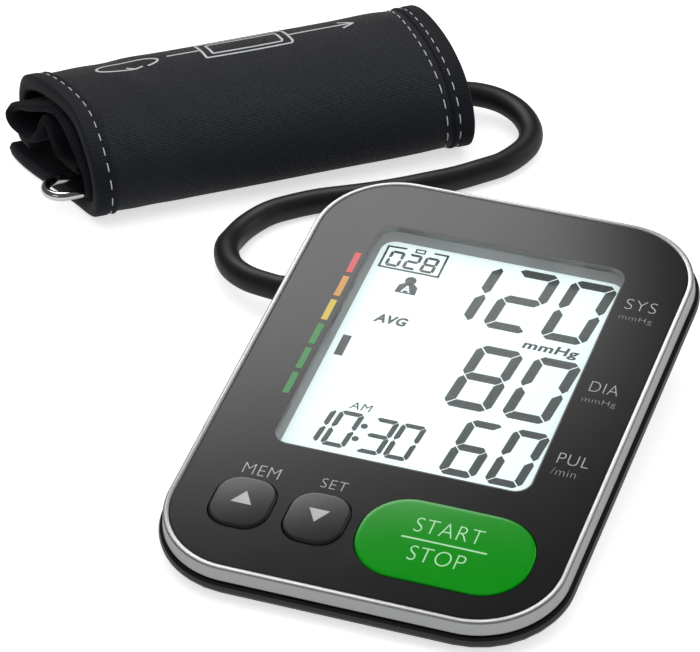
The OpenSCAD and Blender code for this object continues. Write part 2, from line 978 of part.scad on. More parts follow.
// The cover's inner end, folded to and fro inside the roll.
module cuff_tail() {
    color("#101216")
        in_cuff()
            along_roll(-cuff_l / 2 - fold_out, tail_x1)
                polygon(strip(tail_line, fold_t));
}

// Hook tape on the outer end of the cover, under its inner end.
module hook_patch() {
    color("#0c0d10")
        in_cuff()
            translate([14 - cuff_l / 2, 13.4, low + cover_t / 2])
                cube([cuff_l - 28, 6.4, overlap - cover_t - seat]);
}

// Bound edge of the cover, from x0 to x1 along the roll.
module hem(x0, x1) {
    color("#0e0f12")
        in_cuff()
            along_roll(x0, x1)
                polygon(strip(cover_line, cover_t + 2 * hem_t));
}

module metal_loop() {
    r = abs(loop_bars[1] - loop_bars[0]) / 2;
    mid = (loop_bars[0] + loop_bars[1]) / 2;
    color("#c8cacc")
        in_cuff()
            translate([0, mid, loop_z]) {
                for (s = [-1, 1])
                    translate([0, s * r, 0])
                        rod_x(loop_x0 + r, loop_x1 - r, wire_d);
                for (end = [[loop_x0 + r, 90], [loop_x1 - r, -90]])
                    translate([end[0], 0, 0])
                        rotate([0, 0, end[1]])
                            rotate_extrude(angle = 180)
                                translate([r, 0])
                                    circle(d = wire_d, $fn = 24);
            }
}

module cuff_nipple() {
    color("#26282a")
        in_cuff()
            translate([0, nipple_y, nipple_z])
                rod_x(tail_x1, nipple_x, nipple_d);
}

face_plate();
display_window();
trim_ring();
upper_case();
lower_case();
battery_door();
rubber_feet();
case_screws();
display_bezel();
display_glass();
light_guide();
display_connector();
main_board();
board_chips();
board_screws();
key_board();
key_switches();
mem_button();
plunger(mem_x);  // mem_plunger
set_button();
plunger(set_x);  // set_plunger
start_button();
plunger(start_x);  // start_plunger
buzzer();
pump_motor();
pump_head();
release_valve();
pressure_sensor();
air_manifold();
air_socket();
battery_cells();
battery_springs();
battery_tabs();
air_plug();
plug_seal();
air_hose();
cuff_nipple();
cuff_cover();
cuff_tail();
air_bladder();
hook_patch();
hem(-cuff_l / 2, -cover_x);  // left_hem
hem(cover_x, cuff_l / 2);  // right_hem
metal_loop();
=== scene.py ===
"""Looks of a desk blood pressure monitor with its air hose and rolled upper-arm cuff.

Sizes in the classes are millimetres. A point becomes metres on the table when it goes into a mesh.
"""

import logging
import math
from collections.abc import Callable
from dataclasses import dataclass, field
from enum import Enum

import bpy
import numpy as np
from mathutils import Matrix


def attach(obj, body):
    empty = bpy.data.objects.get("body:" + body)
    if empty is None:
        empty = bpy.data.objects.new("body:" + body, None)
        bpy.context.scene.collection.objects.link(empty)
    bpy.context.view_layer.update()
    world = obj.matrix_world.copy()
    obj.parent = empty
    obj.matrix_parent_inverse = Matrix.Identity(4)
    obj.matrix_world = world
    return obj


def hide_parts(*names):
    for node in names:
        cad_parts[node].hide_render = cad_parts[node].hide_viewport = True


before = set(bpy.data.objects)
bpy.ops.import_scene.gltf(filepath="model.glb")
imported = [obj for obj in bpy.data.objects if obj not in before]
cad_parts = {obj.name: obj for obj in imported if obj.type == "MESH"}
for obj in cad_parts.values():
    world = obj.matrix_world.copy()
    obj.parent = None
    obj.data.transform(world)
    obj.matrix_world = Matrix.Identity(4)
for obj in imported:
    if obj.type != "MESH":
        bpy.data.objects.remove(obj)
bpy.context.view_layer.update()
log = logging.getLogger("monitor")

TILT = math.radians(9.5)
FACE_H = 22.501
CUFF_PLACE = (-97.7, 126.9)
CUFF_TURN = math.radians(40)


# ---- finishes ----


class Surface(Enum):
    """How a surface was made, which sets the relief that its material shows."""

    SMOOTH = "smooth"
    MOULDED = "moulded"
    SATIN = "satin"
    WOVEN = "woven"
    RIBBED = "ribbed"
    LOOPED = "looped"
    EXTRUDED = "extruded"


@dataclass(frozen=True)
class Finish:
    """One material: what it is, how it was made, and what the eye gets from that."""

    name: str
    colour: str
    rough: float = 0.4
    metal: float = 0.0
    surface: Surface = Surface.SMOOTH
    pitch: float = 0.4
    relief: float = 0.0
    vary: float = 0.0
    vary_to: str = ""
    vary_size: float = 20.0
    specular: float = 0.5
    coat: float = 0.0
    sheen: float = 0.0
    glow: float = 0.0
    alpha: float = 1.0
    ior: float = 1.5


def linear(code: str) -> tuple[float, float, float, float]:
    """Turns a hex sRGB colour to linear light.

    Args:
        code: a colour such as "#808080".

    Returns:
        Red, green, blue and alpha.
    """
    s = np.array([int(code[i : i + 2], 16) for i in (1, 3, 5)]) / 255
    lin = np.where(s <= 0.04045, s / 12.92, ((s + 0.055) / 1.055) ** 2.4)
    return (float(lin[0]), float(lin[1]), float(lin[2]), 1.0)


def add_node(tree: bpy.types.NodeTree, kind: str, values: dict | None = None, links: dict | None = None,
             **settings: object) -> bpy.types.Node:
    """Adds a shader node.

    Args:
        tree: the node tree.
        kind: the node's type name.
        values: input name or number to its value.
        links: input name or number to the output socket that feeds it.
        settings: the node's own properties.

    Returns:
        The new node.
    """
    node = tree.nodes.new(kind)
    for key, value in settings.items():
        setattr(node, key, value)
    for key, value in (values or {}).items():
        node.inputs[key].default_value = value
    for key, socket in (links or {}).items():
        tree.links.new(socket, node.inputs[key])
    return node


def relief_height(tree: bpy.types.NodeTree, finish: Finish) -> bpy.types.NodeSocket:
    """Makes the height of a surface's relief, from its real pitch.

    Args:
        tree: the material's node tree.
        finish: the finish.

    Returns:
        The socket that carries the height.
    """
    coord = add_node(tree, "ShaderNodeTexCoord")
    cloth = finish.surface in (Surface.WOVEN, Surface.RIBBED, Surface.LOOPED)
    place = coord.outputs["UV" if cloth else "Object"]
    # UV maps are in metres, so a scale of 1 / pitch gives one repeat in one pitch.
    per_m = 1000.0 / finish.pitch
    # A wave texture of scale 1 has 20 / (2 pi) bands in a metre.
    bands_per_m = per_m / 20.0 * 2 * math.pi
    if finish.surface is Surface.WOVEN:
        bands = [add_node(tree, "ShaderNodeTexWave", {"Scale": bands_per_m, "Distortion": 0.6, "Detail": 1.0},
                          {"Vector": place}, wave_type="BANDS", bands_direction=way).outputs["Fac"]
                 for way in ("X", "Y")]
        return add_node(tree, "ShaderNodeMath", links={0: bands[0], 1: bands[1]}, operation="ADD").outputs[0]
    if finish.surface is Surface.RIBBED:
        return add_node(tree, "ShaderNodeTexWave", {"Scale": bands_per_m, "Distortion": 0.8},
                        {"Vector": place}, wave_type="BANDS", bands_direction="Y").outputs["Fac"]
    return add_node(tree, "ShaderNodeTexNoise", {"Scale": per_m, "Detail": 3.0, "Roughness": 0.6},
                    {"Vector": place}).outputs["Fac"]


def material(finish: Finish) -> bpy.types.Material:
    """Makes a finish's material once, and finds it again after that.

    Args:
        finish: the finish.

    Returns:
        The Blender material.
    """
    known = bpy.data.materials.get(finish.name)
    if known is not None:
        return known
    mat = bpy.data.materials.new(finish.name)
    mat.use_nodes = True
    tree = mat.node_tree
    tree.nodes.clear()
    shader = add_node(tree, "ShaderNodeBsdfPrincipled",
                      {"Base Color": linear(finish.colour), "Roughness": finish.rough,
                       "Metallic": finish.metal, "Alpha": finish.alpha, "IOR": finish.ior,
                       "Specular IOR Level": finish.specular, "Coat Weight": finish.coat,
                       "Coat Roughness": 0.12, "Sheen Weight": finish.sheen, "Sheen Roughness": 0.4,
                       "Emission Color": linear(finish.colour), "Emission Strength": finish.glow})
    place = add_node(tree, "ShaderNodeTexCoord").outputs["Object"]
    blotch = add_node(tree, "ShaderNodeTexNoise", {"Scale": 1000.0 / finish.vary_size, "Detail": 3.0},
                      {"Vector": place}).outputs["Fac"]
    if finish.vary_to:
        mix = add_node(tree, "ShaderNodeMix", {6: linear(finish.colour), 7: linear(finish.vary_to)},
                       {0: blotch}, data_type="RGBA")
        tree.links.new(mix.outputs[2], shader.inputs["Base Color"])
    if finish.vary:
        spread = add_node(tree, "ShaderNodeMapRange",
                          {3: max(finish.rough - finish.vary, 0.02), 4: min(finish.rough + finish.vary, 1.0)},
                          {0: blotch})
        tree.links.new(spread.outputs[0], shader.inputs["Roughness"])
    if finish.relief:
        bump = add_node(tree, "ShaderNodeBump",
                        {"Strength": min(1.0, finish.relief * 10), "Distance": finish.relief / 1000.0},
                        {"Height": relief_height(tree, finish)})
        tree.links.new(bump.outputs[0], shader.inputs["Normal"])
    add_node(tree, "ShaderNodeOutputMaterial", links={0: shader.outputs[0]})
    return mat


# ABS moulded in a textured tool: dull black with a broad, soft shine.
CASE_ABS = Finish("moulded_abs_case", "#121213", 0.34, surface=Surface.MOULDED, pitch=0.5, relief=0.012,
                  vary=0.05, vary_size=12)
BELLY_ABS = Finish("textured_abs_belly", "#101011", 0.5, surface=Surface.MOULDED, pitch=0.45, relief=0.03,
                   vary=0.06, vary_size=14)
# Painted polycarbonate plate: satin, with very fine specks.
PLATE_PC = Finish("satin_painted_plate", "#080808", 0.24, surface=Surface.MOULDED, pitch=0.3, relief=0.004,
                  vary=0.02, vary_size=9, specular=0.3)
# Bead-blasted and chromed plastic: pale grey with a fine grain.
RING_CHROME = Finish("satin_chrome_ring", "#a4a5a6", 0.36, metal=0.8, surface=Surface.SATIN, pitch=0.3,
                     relief=0.05, vary=0.05, vary_size=3)
# Acrylic pane: clear, with a soft gloss; its border is printed grey on the back.
LENS = Finish("clear_acrylic_lens", "#f2fbfb", 0.3, alpha=0.04, specular=0.4, vary=0.01, ior=1.49)
LENS_EDGE = Finish("printed_lens_border", "#6f6f6f", 0.5, surface=Surface.MOULDED, pitch=0.4, relief=0.006)
BEZEL = Finish("moulded_grey_bezel", "#828282", 0.55, surface=Surface.MOULDED, pitch=0.4, relief=0.01,
               vary=0.05)
# Display film: pale, with a painted glow that lifts the shade in the recess so the film reads evenly lit. The
# segments are dark and share the pane's gloss.
DISPLAY = Finish("display_film_painted_glow", "#e2f4f4", 0.35, specular=0.2, glow=0.4, vary=0.03,
                 vary_to="#eefefe", vary_size=60)
INK = Finish("display_segments", "#17211f", 0.24, specular=0.26, vary_to="#1d2825", vary_size=40, vary=0.05)
# Opal sheet behind the display: dull white.
DIFFUSER = Finish("white_light_guide", "#f2f5f7", 0.4, surface=Surface.MOULDED, pitch=1.0, relief=0.01)
# Moulded polycarbonate keys: smooth, a little glossier than the case.
KEY_PC = Finish("moulded_black_key", "#171717", 0.3, surface=Surface.MOULDED, pitch=0.4, relief=0.006,
                vary=0.03, vary_size=7, specular=0.4)
START_PC = Finish("moulded_green_key", "#00900a", 0.2, surface=Surface.MOULDED, pitch=0.4, relief=0.004,
                  vary=0.02, vary_size=8, vary_to="#01960d", specular=0.3)
# Screen print: thin, dull and slightly uneven ink.
SILVER_INK = Finish("silver_screen_print", "#c3c3c3", 0.45, vary=0.04, vary_size=2, vary_to="#b4b4b4")
PALE_INK = Finish("pale_green_print", "#b9f2bd", 0.5, vary=0.03, vary_size=2, vary_to="#a9e8ae")
GREY_INK = Finish("grey_screen_print", "#a8a8a8", 0.5, vary=0.04, vary_size=2, vary_to="#9c9c9c")
RED_INK = Finish("red_screen_print", "#e25a5c", 0.5, vary=0.03, vary_size=3, vary_to="#ec6668")
ORANGE_INK = Finish("orange_screen_print", "#dc9f50", 0.5, vary=0.03, vary_size=3, vary_to="#e6a95a")
YELLOW_INK = Finish("yellow_screen_print", "#dcc44c", 0.5, vary=0.03, vary_size=3, vary_to="#e6ce56")
GREEN_INK = Finish("green_screen_print", "#3f8f4e", 0.5, vary=0.03, vary_size=3, vary_to="#479a58")
# PVC hose: matte black with faint draw marks.
HOSE_PVC = Finish("extruded_pvc_hose", "#121314", 0.5, surface=Surface.EXTRUDED, pitch=1.2, relief=0.02,
                  vary=0.07, vary_size=10, specular=0.4)
# Moulded plug and nitrile seal: dark, one satin and one dull.
PLUG_ABS = Finish("moulded_abs_plug", "#1b1c1d", 0.38, surface=Surface.MOULDED, pitch=0.4, relief=0.01,
                  vary=0.05)
RUBBER = Finish("nitrile_rubber", "#141414", 0.75, surface=Surface.MOULDED, pitch=0.6, relief=0.03, vary=0.05)
# Nylon pack cloth: fine plain weave, drawn as coarse as 0.6 mm so that it shows.
CUFF_CLOTH = Finish("woven_nylon_cuff", "#14171c", 0.6, surface=Surface.WOVEN, pitch=0.6, relief=0.1,
                    vary=0.08, vary_size=30, vary_to="#191c22", specular=0.25, sheen=0.06)
# Brushed loop lining: near black, with a short nap that takes the shine away.
TAIL_CLOTH = Finish("looped_nylon_lining", "#0c0d12", 0.85, surface=Surface.LOOPED, pitch=0.5, relief=0.12,
                    vary=0.06, vary_size=8, vary_to="#101218", specular=0.15, sheen=0.06)
# Woven binding tape: ribs across it catch the light.
HEM_TAPE = Finish("ribbed_binding_tape", "#121419", 0.75, surface=Surface.RIBBED, pitch=0.7, relief=0.05,
                  vary=0.06, vary_size=12, vary_to="#171a20", specular=0.2, sheen=0.05)
HOOK_TAPE = Finish("nylon_hook_tape", "#0d0e10", 0.9, surface=Surface.LOOPED, pitch=0.8, relief=0.15)
# Sewing thread and cloth print: pale and dull.
THREAD = Finish("polyester_thread", "#c6c8cc", 0.6, surface=Surface.MOULDED, pitch=0.3, relief=0.03,
                sheen=0.2)
CLOTH_PRINT = Finish("white_cloth_print", "#dfe1e3", 0.6, surface=Surface.MOULDED, pitch=0.7, relief=0.05,
                     vary=0.05, vary_size=2, vary_to="#cfd2d5")
# Chromed wire: mirrors the room.
CHROME = Finish("polished_chrome_wire", "#d4d4d6", 0.09, metal=1.0, vary=0.03, vary_size=3)
# Inner pieces: plain finishes, which show only when the case or the cuff is opened.
BLADDER = Finish("polyurethane_film", "#3a3a3a", 0.5, surface=Surface.MOULDED, pitch=1.0, relief=0.02)
STEEL = Finish("zinc_plated_steel", "#a9abae", 0.35, metal=1.0, vary=0.08, vary_size=2)
CONTACT = Finish("nickel_plated_spring_steel", "#c4c1b8", 0.3, metal=1.0, vary=0.08, vary_size=2)
BOARD = Finish("solder_masked_board", "#1c5c33", 0.4, vary=0.06, vary_size=3, vary_to="#236b3c", coat=0.3)
CHIP = Finish("epoxy_chip_package", "#202124", 0.55, surface=Surface.MOULDED, pitch=0.3, relief=0.01)
NYLON = Finish("natural_nylon", "#d8d3c4", 0.45, surface=Surface.MOULDED, pitch=0.5, relief=0.01, vary=0.05)
GREY_NYLON = Finish("glass_filled_nylon", "#2d3033", 0.55, surface=Surface.MOULDED, pitch=0.3, relief=0.02)
CELL_WRAP = Finish("printed_cell_wrap", "#3b3f45", 0.3, metal=0.3, vary=0.05, vary_size=8)
ELASTOMER = Finish("conductive_rubber_strip", "#c9b990", 0.7, surface=Surface.MOULDED, pitch=0.4, relief=0.02)

NODE_FINISH: dict[str, Finish] = {
    "face_plate": PLATE_PC, "display_window": LENS, "trim_ring": RING_CHROME, "upper_case": CASE_ABS,
    "lower_case": BELLY_ABS, "battery_door": BELLY_ABS, "rubber_feet": RUBBER, "case_screws": STEEL,
    "display_bezel": BEZEL, "display_glass": DISPLAY, "light_guide": DIFFUSER,
    "display_connector": ELASTOMER, "main_board": BOARD, "board_chips": CHIP, "board_screws": STEEL,
    "key_board": BOARD, "key_switches": CHIP, "mem_button": KEY_PC, "mem_plunger": NYLON,
    "set_button": KEY_PC, "set_plunger": NYLON, "start_button": START_PC, "start_plunger": NYLON,
    "buzzer": GREY_NYLON, "pump_motor": STEEL, "pump_head": NYLON, "release_valve": GREY_NYLON,
    "pressure_sensor": CHIP, "air_manifold": NYLON, "air_socket": PLUG_ABS, "battery_cells": CELL_WRAP,
    "battery_springs": CONTACT, "battery_tabs": CONTACT, "air_plug": PLUG_ABS, "plug_seal": RUBBER,
    "air_hose": HOSE_PVC, "cuff_nipple": PLUG_ABS, "cuff_cover": CUFF_CLOTH, "cuff_tail": TAIL_CLOTH,
    "air_bladder": BLADDER, "hook_patch": HOOK_TAPE, "left_hem": HEM_TAPE, "right_hem": HEM_TAPE,
    "metal_loop": CHROME,
}


# ---- places ----


def from_face(p: np.ndarray) -> np.ndarray:
    """Takes points on the sloping face, in mm, to the table, in metres.

    The face is turned by TILT about X and raised by FACE_H.

    Args:
        p: array whose last axis is x, y, z, with z = 0 on the plate's outer surface.

    Returns:
        The array in metres.
    """
    c, s = math.cos(TILT), math.sin(TILT)
    out = np.stack([p[..., 0], p[..., 1] * c - p[..., 2] * s, FACE_H + p[..., 1] * s + p[..., 2] * c], -1)
    return out / 1000


def from_cuff(p: np.ndarray) -> np.ndarray:
    """Takes points in the cuff's frame, in mm, to the table, in metres: a turn about Z and a shift.

    Args:
        p: array whose last axis is along the roll, across it, and up.

    Returns:
        The array in metres.
    """
    c, s = math.cos(CUFF_TURN), math.sin(CUFF_TURN)
    x, y = p[..., 0], p[..., 1]
    out = np.stack([CUFF_PLACE[0] + x * c - y * s, CUFF_PLACE[1] + x * s + y * c, p[..., 2]], -1)
    return out / 1000


def from_table(p: np.ndarray) -> np.ndarray:
    """Takes points on the table from mm to metres."""
    return p / 1000


# ---- meshes ----


def dressed(name: str, mesh: bpy.types.Mesh, finish: Finish, body: str) -> bpy.types.Object:
    """Dresses a mesh, stands it in the scene at the origin and lets it ride on a body.

    Args:
        name: the piece's name.
        mesh: its mesh, in metres.
        finish: its finish.
        body: the body that it moves with.

    Returns:
        The object.
    """
    mesh.materials.append(material(finish))
    obj = bpy.data.objects.new(name, mesh)
    bpy.context.scene.collection.objects.link(obj)
    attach(obj, body)
    log.info("%s: %d faces on %s", name, len(mesh.polygons), body)
    return obj


def finished(name: str, verts: np.ndarray, faces: np.ndarray | list, finish: Finish, body: str,
             uv: np.ndarray | None = None, smooth: bool = True, flip: bool = False) -> bpy.types.Object:
    """Makes a mesh object at the origin, dresses it and lets it ride on a body.

    Args:
        name: the piece's name.
        verts: points in metres, one row each.
        faces: corner numbers, one row each face.
        finish: its finish.
        body: the body that it moves with.
        uv: one pair in metres for each point.
        smooth: whether the faces shade smoothly.
        flip: whether to turn the faces round.

    Returns:
        The object.
    """
    mesh = bpy.data.meshes.new(name)
    if isinstance(faces, np.ndarray):
        faces = (faces[:, ::-1] if flip else faces).tolist()
    mesh.from_pydata(verts.tolist(), [], faces)
    mesh.update()
    mesh.polygons.foreach_set("use_smooth", np.full(len(mesh.polygons), smooth))
    if uv is not None:
        loops = np.empty(len(mesh.loops), dtype=np.int64)
        mesh.loops.foreach_get("vertex_index", loops)
        mesh.uv_layers.new(name="UVMap").data.foreach_set("uv", uv[loops].astype(np.float32).ravel())
    return dressed(name, mesh, finish, body)


def grid_faces(rows: int, cols: int, wrap_rows: bool = False, wrap_cols: bool = False) -> np.ndarray:
    """Numbers the four-sided faces of a grid of points.

    Args:
        rows: how many rows of points.
        cols: how many points in a row.
        wrap_rows: whether the last row joins the first.
        wrap_cols: whether each row's end joins its start.

    Returns:
        Array of corner numbers.
    """
    i, j = np.meshgrid(np.arange(rows - (not wrap_rows)), np.arange(cols - (not wrap_cols)), indexing="ij")
    i2, j2 = (i + 1) % rows, (j + 1) % cols
    return np.stack([i * cols + j, i * cols + j2, i2 * cols + j2, i2 * cols + j], -1).reshape(-1, 4)


def fan(pole: int, first: int, count: int, turned: bool = False) -> list:
    """Numbers the triangles that close a ring of points onto a pole.

    Args:
        pole: the pole's number.
        first: the number of the ring's first point.
        count: how many points the ring has.
        turned: whether the triangles run the other way round.

    Returns:
        The triangles.
    """
    a = first + np.arange(count)
    b = np.roll(a, -1)
    pair = [b, a] if turned else [a, b]
    return np.stack([np.full(count, pole)] + pair, -1).tolist()


def outline(w: float, l: float, r: float, arc: int = 14, side: int = 8) -> tuple[np.ndarray, np.ndarray]:
    """Walks round a rectangle with round corners, counter-clockwise.

    Each corner is a quarter circle, and the straight sides are cut evenly between the quarters.

    Args:
        w: width.
        l: length.
        r: corner radius.
        arc: points in a corner.
        side: cuts in a side.

    Returns:
        The points and their outward directions.
    """
    pts, out = [], []
    for k, (cx, cy) in enumerate([(1, -1), (1, 1), (-1, 1), (-1, -1)]):
        a = np.linspace(0, math.pi / 2, arc) + (k - 1) * math.pi / 2
        d = np.stack([np.cos(a), np.sin(a)], -1)
        pts.append(np.array([cx * (w / 2 - r), cy * (l / 2 - r)]) + r * d)
        out.append(d)
    full_p, full_n = [], []
    for k in range(4):
        a, b = pts[k][-1], pts[(k + 1) % 4][0]
        t = np.linspace(0, 1, side + 1)[1:-1, None]
        full_p += [pts[k], a + (b - a) * t]
        full_n += [out[k], np.repeat(out[k][-1:], side - 1, 0)]
    return np.vstack(full_p), np.vstack(full_n)


def swept(profile: list[tuple[float, float]], w: float, l: float, r: float, arc: int = 14,
          side: int = 8) -> np.ndarray:
    """Carries a profile round a rectangle with round corners.

    Args:
        profile: pairs of how far out and how high.
        w: width.
        l: length.
        r: corner radius.
        arc: points in a corner.
        side: cuts in a side.

    Returns:
        Grid of points: profile, outline, xyz.
    """
    base, out = outline(w, l, r, arc, side)
    p = np.array(profile, float)
    xy = base[None] + out[None] * p[:, None, :1]
    z = np.broadcast_to(p[:, None, 1:], xy.shape[:2] + (1,))
    return np.concatenate([xy, z], -1)


def volume(v: np.ndarray, f: np.ndarray) -> float:
    """Signed volume of a closed mesh: the sum of its faces' cones to the origin.

    Args:
        v: points.
        f: four-sided faces.

    Returns:
        The volume, which is negative where the faces point inwards.
    """
    v = v - v.mean(0)
    a, b, c, d = (v[f[:, k]] for k in range(4))
    return float(np.einsum("ij,ij->", a, np.cross(b, c)) + np.einsum("ij,ij->", a, np.cross(c, d)))


def closed_bar(grid: np.ndarray, place: Callable) -> tuple[np.ndarray, list]:
    """Joins a row of four-cornered sections into a closed bar whose faces point outwards.

    Args:
        grid: its points: section, corner, xyz.
        place: the function that takes the points to the table.

    Returns:
        Points in metres, and faces.
    """
    verts, count = place(grid.reshape(-1, 3)), len(grid)
    faces = grid_faces(count, 4, False, True)
    ends = np.array([[0, 1, 2, 3], [3, 2, 1, 0]]) + np.array([[0], [4 * (count - 1)]])
    if volume(verts, faces) < 0:
        faces = faces[:, ::-1]
    else:
        ends = ends[:, ::-1]
    return verts, faces.tolist() + ends.tolist()


def ring_piece(name: str, profile: list[tuple[float, float]], w: float, l: float, r: float, y: float,
               finish: Finish, body: str, arc: int = 20, x: float = 0.0) -> bpy.types.Object:
    """Makes a closed ring on the face from a closed profile.

    Args:
        name: the piece's name.
        profile: pairs of how far out and how high, round the section.
        w: width of the rectangle that it follows.
        l: its length.
        r: its corner radius.
        y: the place of its centre on the face.
        finish: its finish.
        body: its body.
        arc: points in a corner.
        x: the place of its centre across the face.

    Returns:
        The object.
    """
    g = swept(profile, w, l, r, arc) + np.array([x, y, 0])
    faces = grid_faces(g.shape[0], g.shape[1], True, True)
    verts = from_face(g.reshape(-1, 3))
    return finished(name, verts, faces, finish, body, flip=volume(verts, faces) < 0)


def prism(polys: list[np.ndarray], z0: float, z1: float) -> tuple[np.ndarray, list]:
    """Stands flat outlines up into closed plates.

    Args:
        polys: outlines, counter-clockwise, as rows of x, y.
        z0: the underside.
        z1: the top.

    Returns:
        Points and faces of all the plates.
    """
    verts, faces, base = [], [], 0
    for p in polys:
        n = len(p)
        low = np.c_[p, np.full(n, z0)]
        high = np.c_[p, np.full(n, z1)]
        verts += [low, high]
        k = np.arange(n)
        faces.append((base + n + k).tolist())
        faces.append((base + k[::-1]).tolist())
        faces += (base + np.stack([k, (k + 1) % n, (k + 1) % n + n, k + n], -1)).tolist()
        base += 2 * n
    return np.vstack(verts), faces


def flat_marks(name: str, polys: list[np.ndarray], z: float, thick: float, finish: Finish, body: str,
               place: Callable = from_face) -> bpy.types.Object:
    """Makes thin printed marks that lie on a flat surface.

    Args:
        name: the piece's name.
        polys: outlines, counter-clockwise.
        z: the surface that they lie on.
        thick: thickness of the ink.
        finish: its finish.
        body: its body.
        place: the function that takes the points to the table.

    Returns:
        The object.
    """
    verts, faces = prism(polys, z, z + thick)
    return finished(name, place(verts), faces, finish, body, smooth=False)


def word(name: str, text: str, box: tuple[float, float, float, float], z: float, finish: Finish, body: str,
         bold: float = 0.0, lean: float = 0.0, crown: Callable | None = None) -> bpy.types.Object:
    """Sets a word into a box on the face, as thin closed letters.

    The letters are scaled so that their own box fills the given one.

    Args:
        name: the piece's name.
        text: the word.
        box: left, right, bottom and top on the face.
        z: height of the surface under the letters.
        finish: its finish.
        body: its body.
        bold: how far the strokes swell.
        lean: sideways shift for each mm of height.
        crown: function of x and y that gives the surface's height, or None.

    Returns:
        The object.
    """
    curve = bpy.data.curves.new(name + "_font", "FONT")
    curve.body, curve.size, curve.extrude, curve.offset = text, 1.0, 0.01, bold
    curve.resolution_u = 5
    curve.space_character = 1.08
    temp = bpy.data.objects.new(name + "_font", curve)
    bpy.context.scene.collection.objects.link(temp)
    bpy.context.view_layer.update()
    mesh = bpy.data.meshes.new_from_object(temp.evaluated_get(bpy.context.evaluated_depsgraph_get()))
    bpy.data.objects.remove(temp)
    v = np.empty(len(mesh.vertices) * 3)
    mesh.vertices.foreach_get("co", v)
    v = v.reshape(-1, 3)
    lo, hi = v.min(0), v.max(0)
    u = (v - lo) / (hi - lo)
    height = box[3] - box[2]
    x = box[0] + u[:, 0] * (box[1] - box[0] - lean * height) + lean * height * u[:, 1]
    y = box[2] + u[:, 1] * height
    base = np.full(len(x), z) if crown is None else crown(x, y)
    lift, thick = 0.01, 0.03
    v = from_face(np.stack([x, y, base + lift + thick * u[:, 2]], -1))
    mesh.vertices.foreach_set("co", v.ravel())
    mesh.update()
    mesh.materials.clear()
    return dressed(name, mesh, finish, body)


def travelled(path: np.ndarray) -> np.ndarray:
    """How far along a path each of its points is: the running sum of its steps."""
    return np.r_[0, np.cumsum(np.linalg.norm(np.diff(path, axis=0), axis=1))]


def unit(rows: np.ndarray) -> np.ndarray:
    """Brings each row to length one."""
    return rows / np.linalg.norm(rows, axis=1)[:, None]


def bell(u: np.ndarray, width: float) -> np.ndarray:
    """A hump of height one: e to the power of minus the square of u over its width."""
    return np.exp(-((u / width) ** 2))


def edge_fall(u: np.ndarray, r: float) -> np.ndarray:
    """Share of a sheet's thickness at u from its edge: it falls as a quarter circle of radius r does."""
    return 0.04 + 0.96 * np.sqrt(np.clip(1 - (1 - np.clip(u / r, 0, 1)) ** 2, 0, 1))


def curve_through(points: np.ndarray, steps: int) -> np.ndarray:
    """Draws a Catmull-Rom curve through points.

    Args:
        points: the points, in order.
        steps: cuts between each two.

    Returns:
        Points along the curve, both ends included.
    """
    p = np.vstack([points[:1], points, points[-1:]])
    t = (np.arange(steps) / steps)[None, :, None]
    a, b, c, d = (p[k : len(p) - 3 + k, None] for k in range(4))
    q = 0.5 * (2 * b + (c - a) * t + (2 * a - 5 * b + 4 * c - d) * t**2 + (3 * b - a - 3 * c + d) * t**3)
    return np.vstack([q.reshape(-1, points.shape[1]), points[-1:]])


def evenly(path: np.ndarray, count: int) -> tuple[np.ndarray, np.ndarray]:
    """Cuts a path into equal steps.

    Args:
        path: points along it.
        count: how many points come back.

    Returns:
        The points, and how far along each is.
    """
    s = travelled(path)
    u = np.linspace(0, s[-1], count)
    return np.stack([np.interp(u, s, path[:, k]) for k in range(path.shape[1])], -1), u


def tube(path: np.ndarray, radius: np.ndarray, sides: int,
         closed: bool = False) -> tuple[np.ndarray, np.ndarray | list, np.ndarray]:
    """Carries a circle along a path, with flat end caps that close it.

    The circle's sideways direction is the path's direction crossed with +Z.

    Args:
        path: points in mm.
        radius: the radius at each point.
        sides: points round the circle.
        closed: whether the path joins its own start.

    Returns:
        Points, faces, and UV in mm.
    """
    n = len(path)
    if closed:
        ahead = np.roll(path, -1, 0) - np.roll(path, 1, 0)
    else:
        ahead = np.gradient(path, axis=0)
    ahead = unit(ahead)
    side = unit(np.cross(ahead, [0, 0, 1.0]))
    top = np.cross(side, ahead)
    a = 2 * math.pi * np.arange(sides) / sides
    ring = side[:, None] * np.cos(a)[None, :, None] + top[:, None] * np.sin(a)[None, :, None]
    v = (path[:, None] + ring * radius[:, None, None]).reshape(-1, 3)
    f = grid_faces(n, sides, closed, True)
    s = travelled(path)
    uv = np.stack(np.broadcast_arrays(s[:, None], (a * radius.mean())[None]), -1).reshape(-1, 2)
    if closed:
        return v, f[:, ::-1], uv
    v = np.vstack([v, path[:1], path[-1:]])
    uv = np.vstack([uv, uv[:1], uv[-1:]])
    ends = fan(n * sides, 0, sides, True) + fan(n * sides + 1, (n - 1) * sides, sides)
    return v, f[:, ::-1].tolist() + ends, uv


# ---- camera, light and floor ----


def axes_matrix(side: np.ndarray, up: np.ndarray, back: np.ndarray, place: np.ndarray) -> Matrix:
    """Places a thing and turns its own x, y and z axes to side, up and back."""
    rows = np.stack([side, up, back, place], -1).astype(float).tolist()
    return Matrix(rows + [[0.0, 0.0, 0.0, 1.0]])


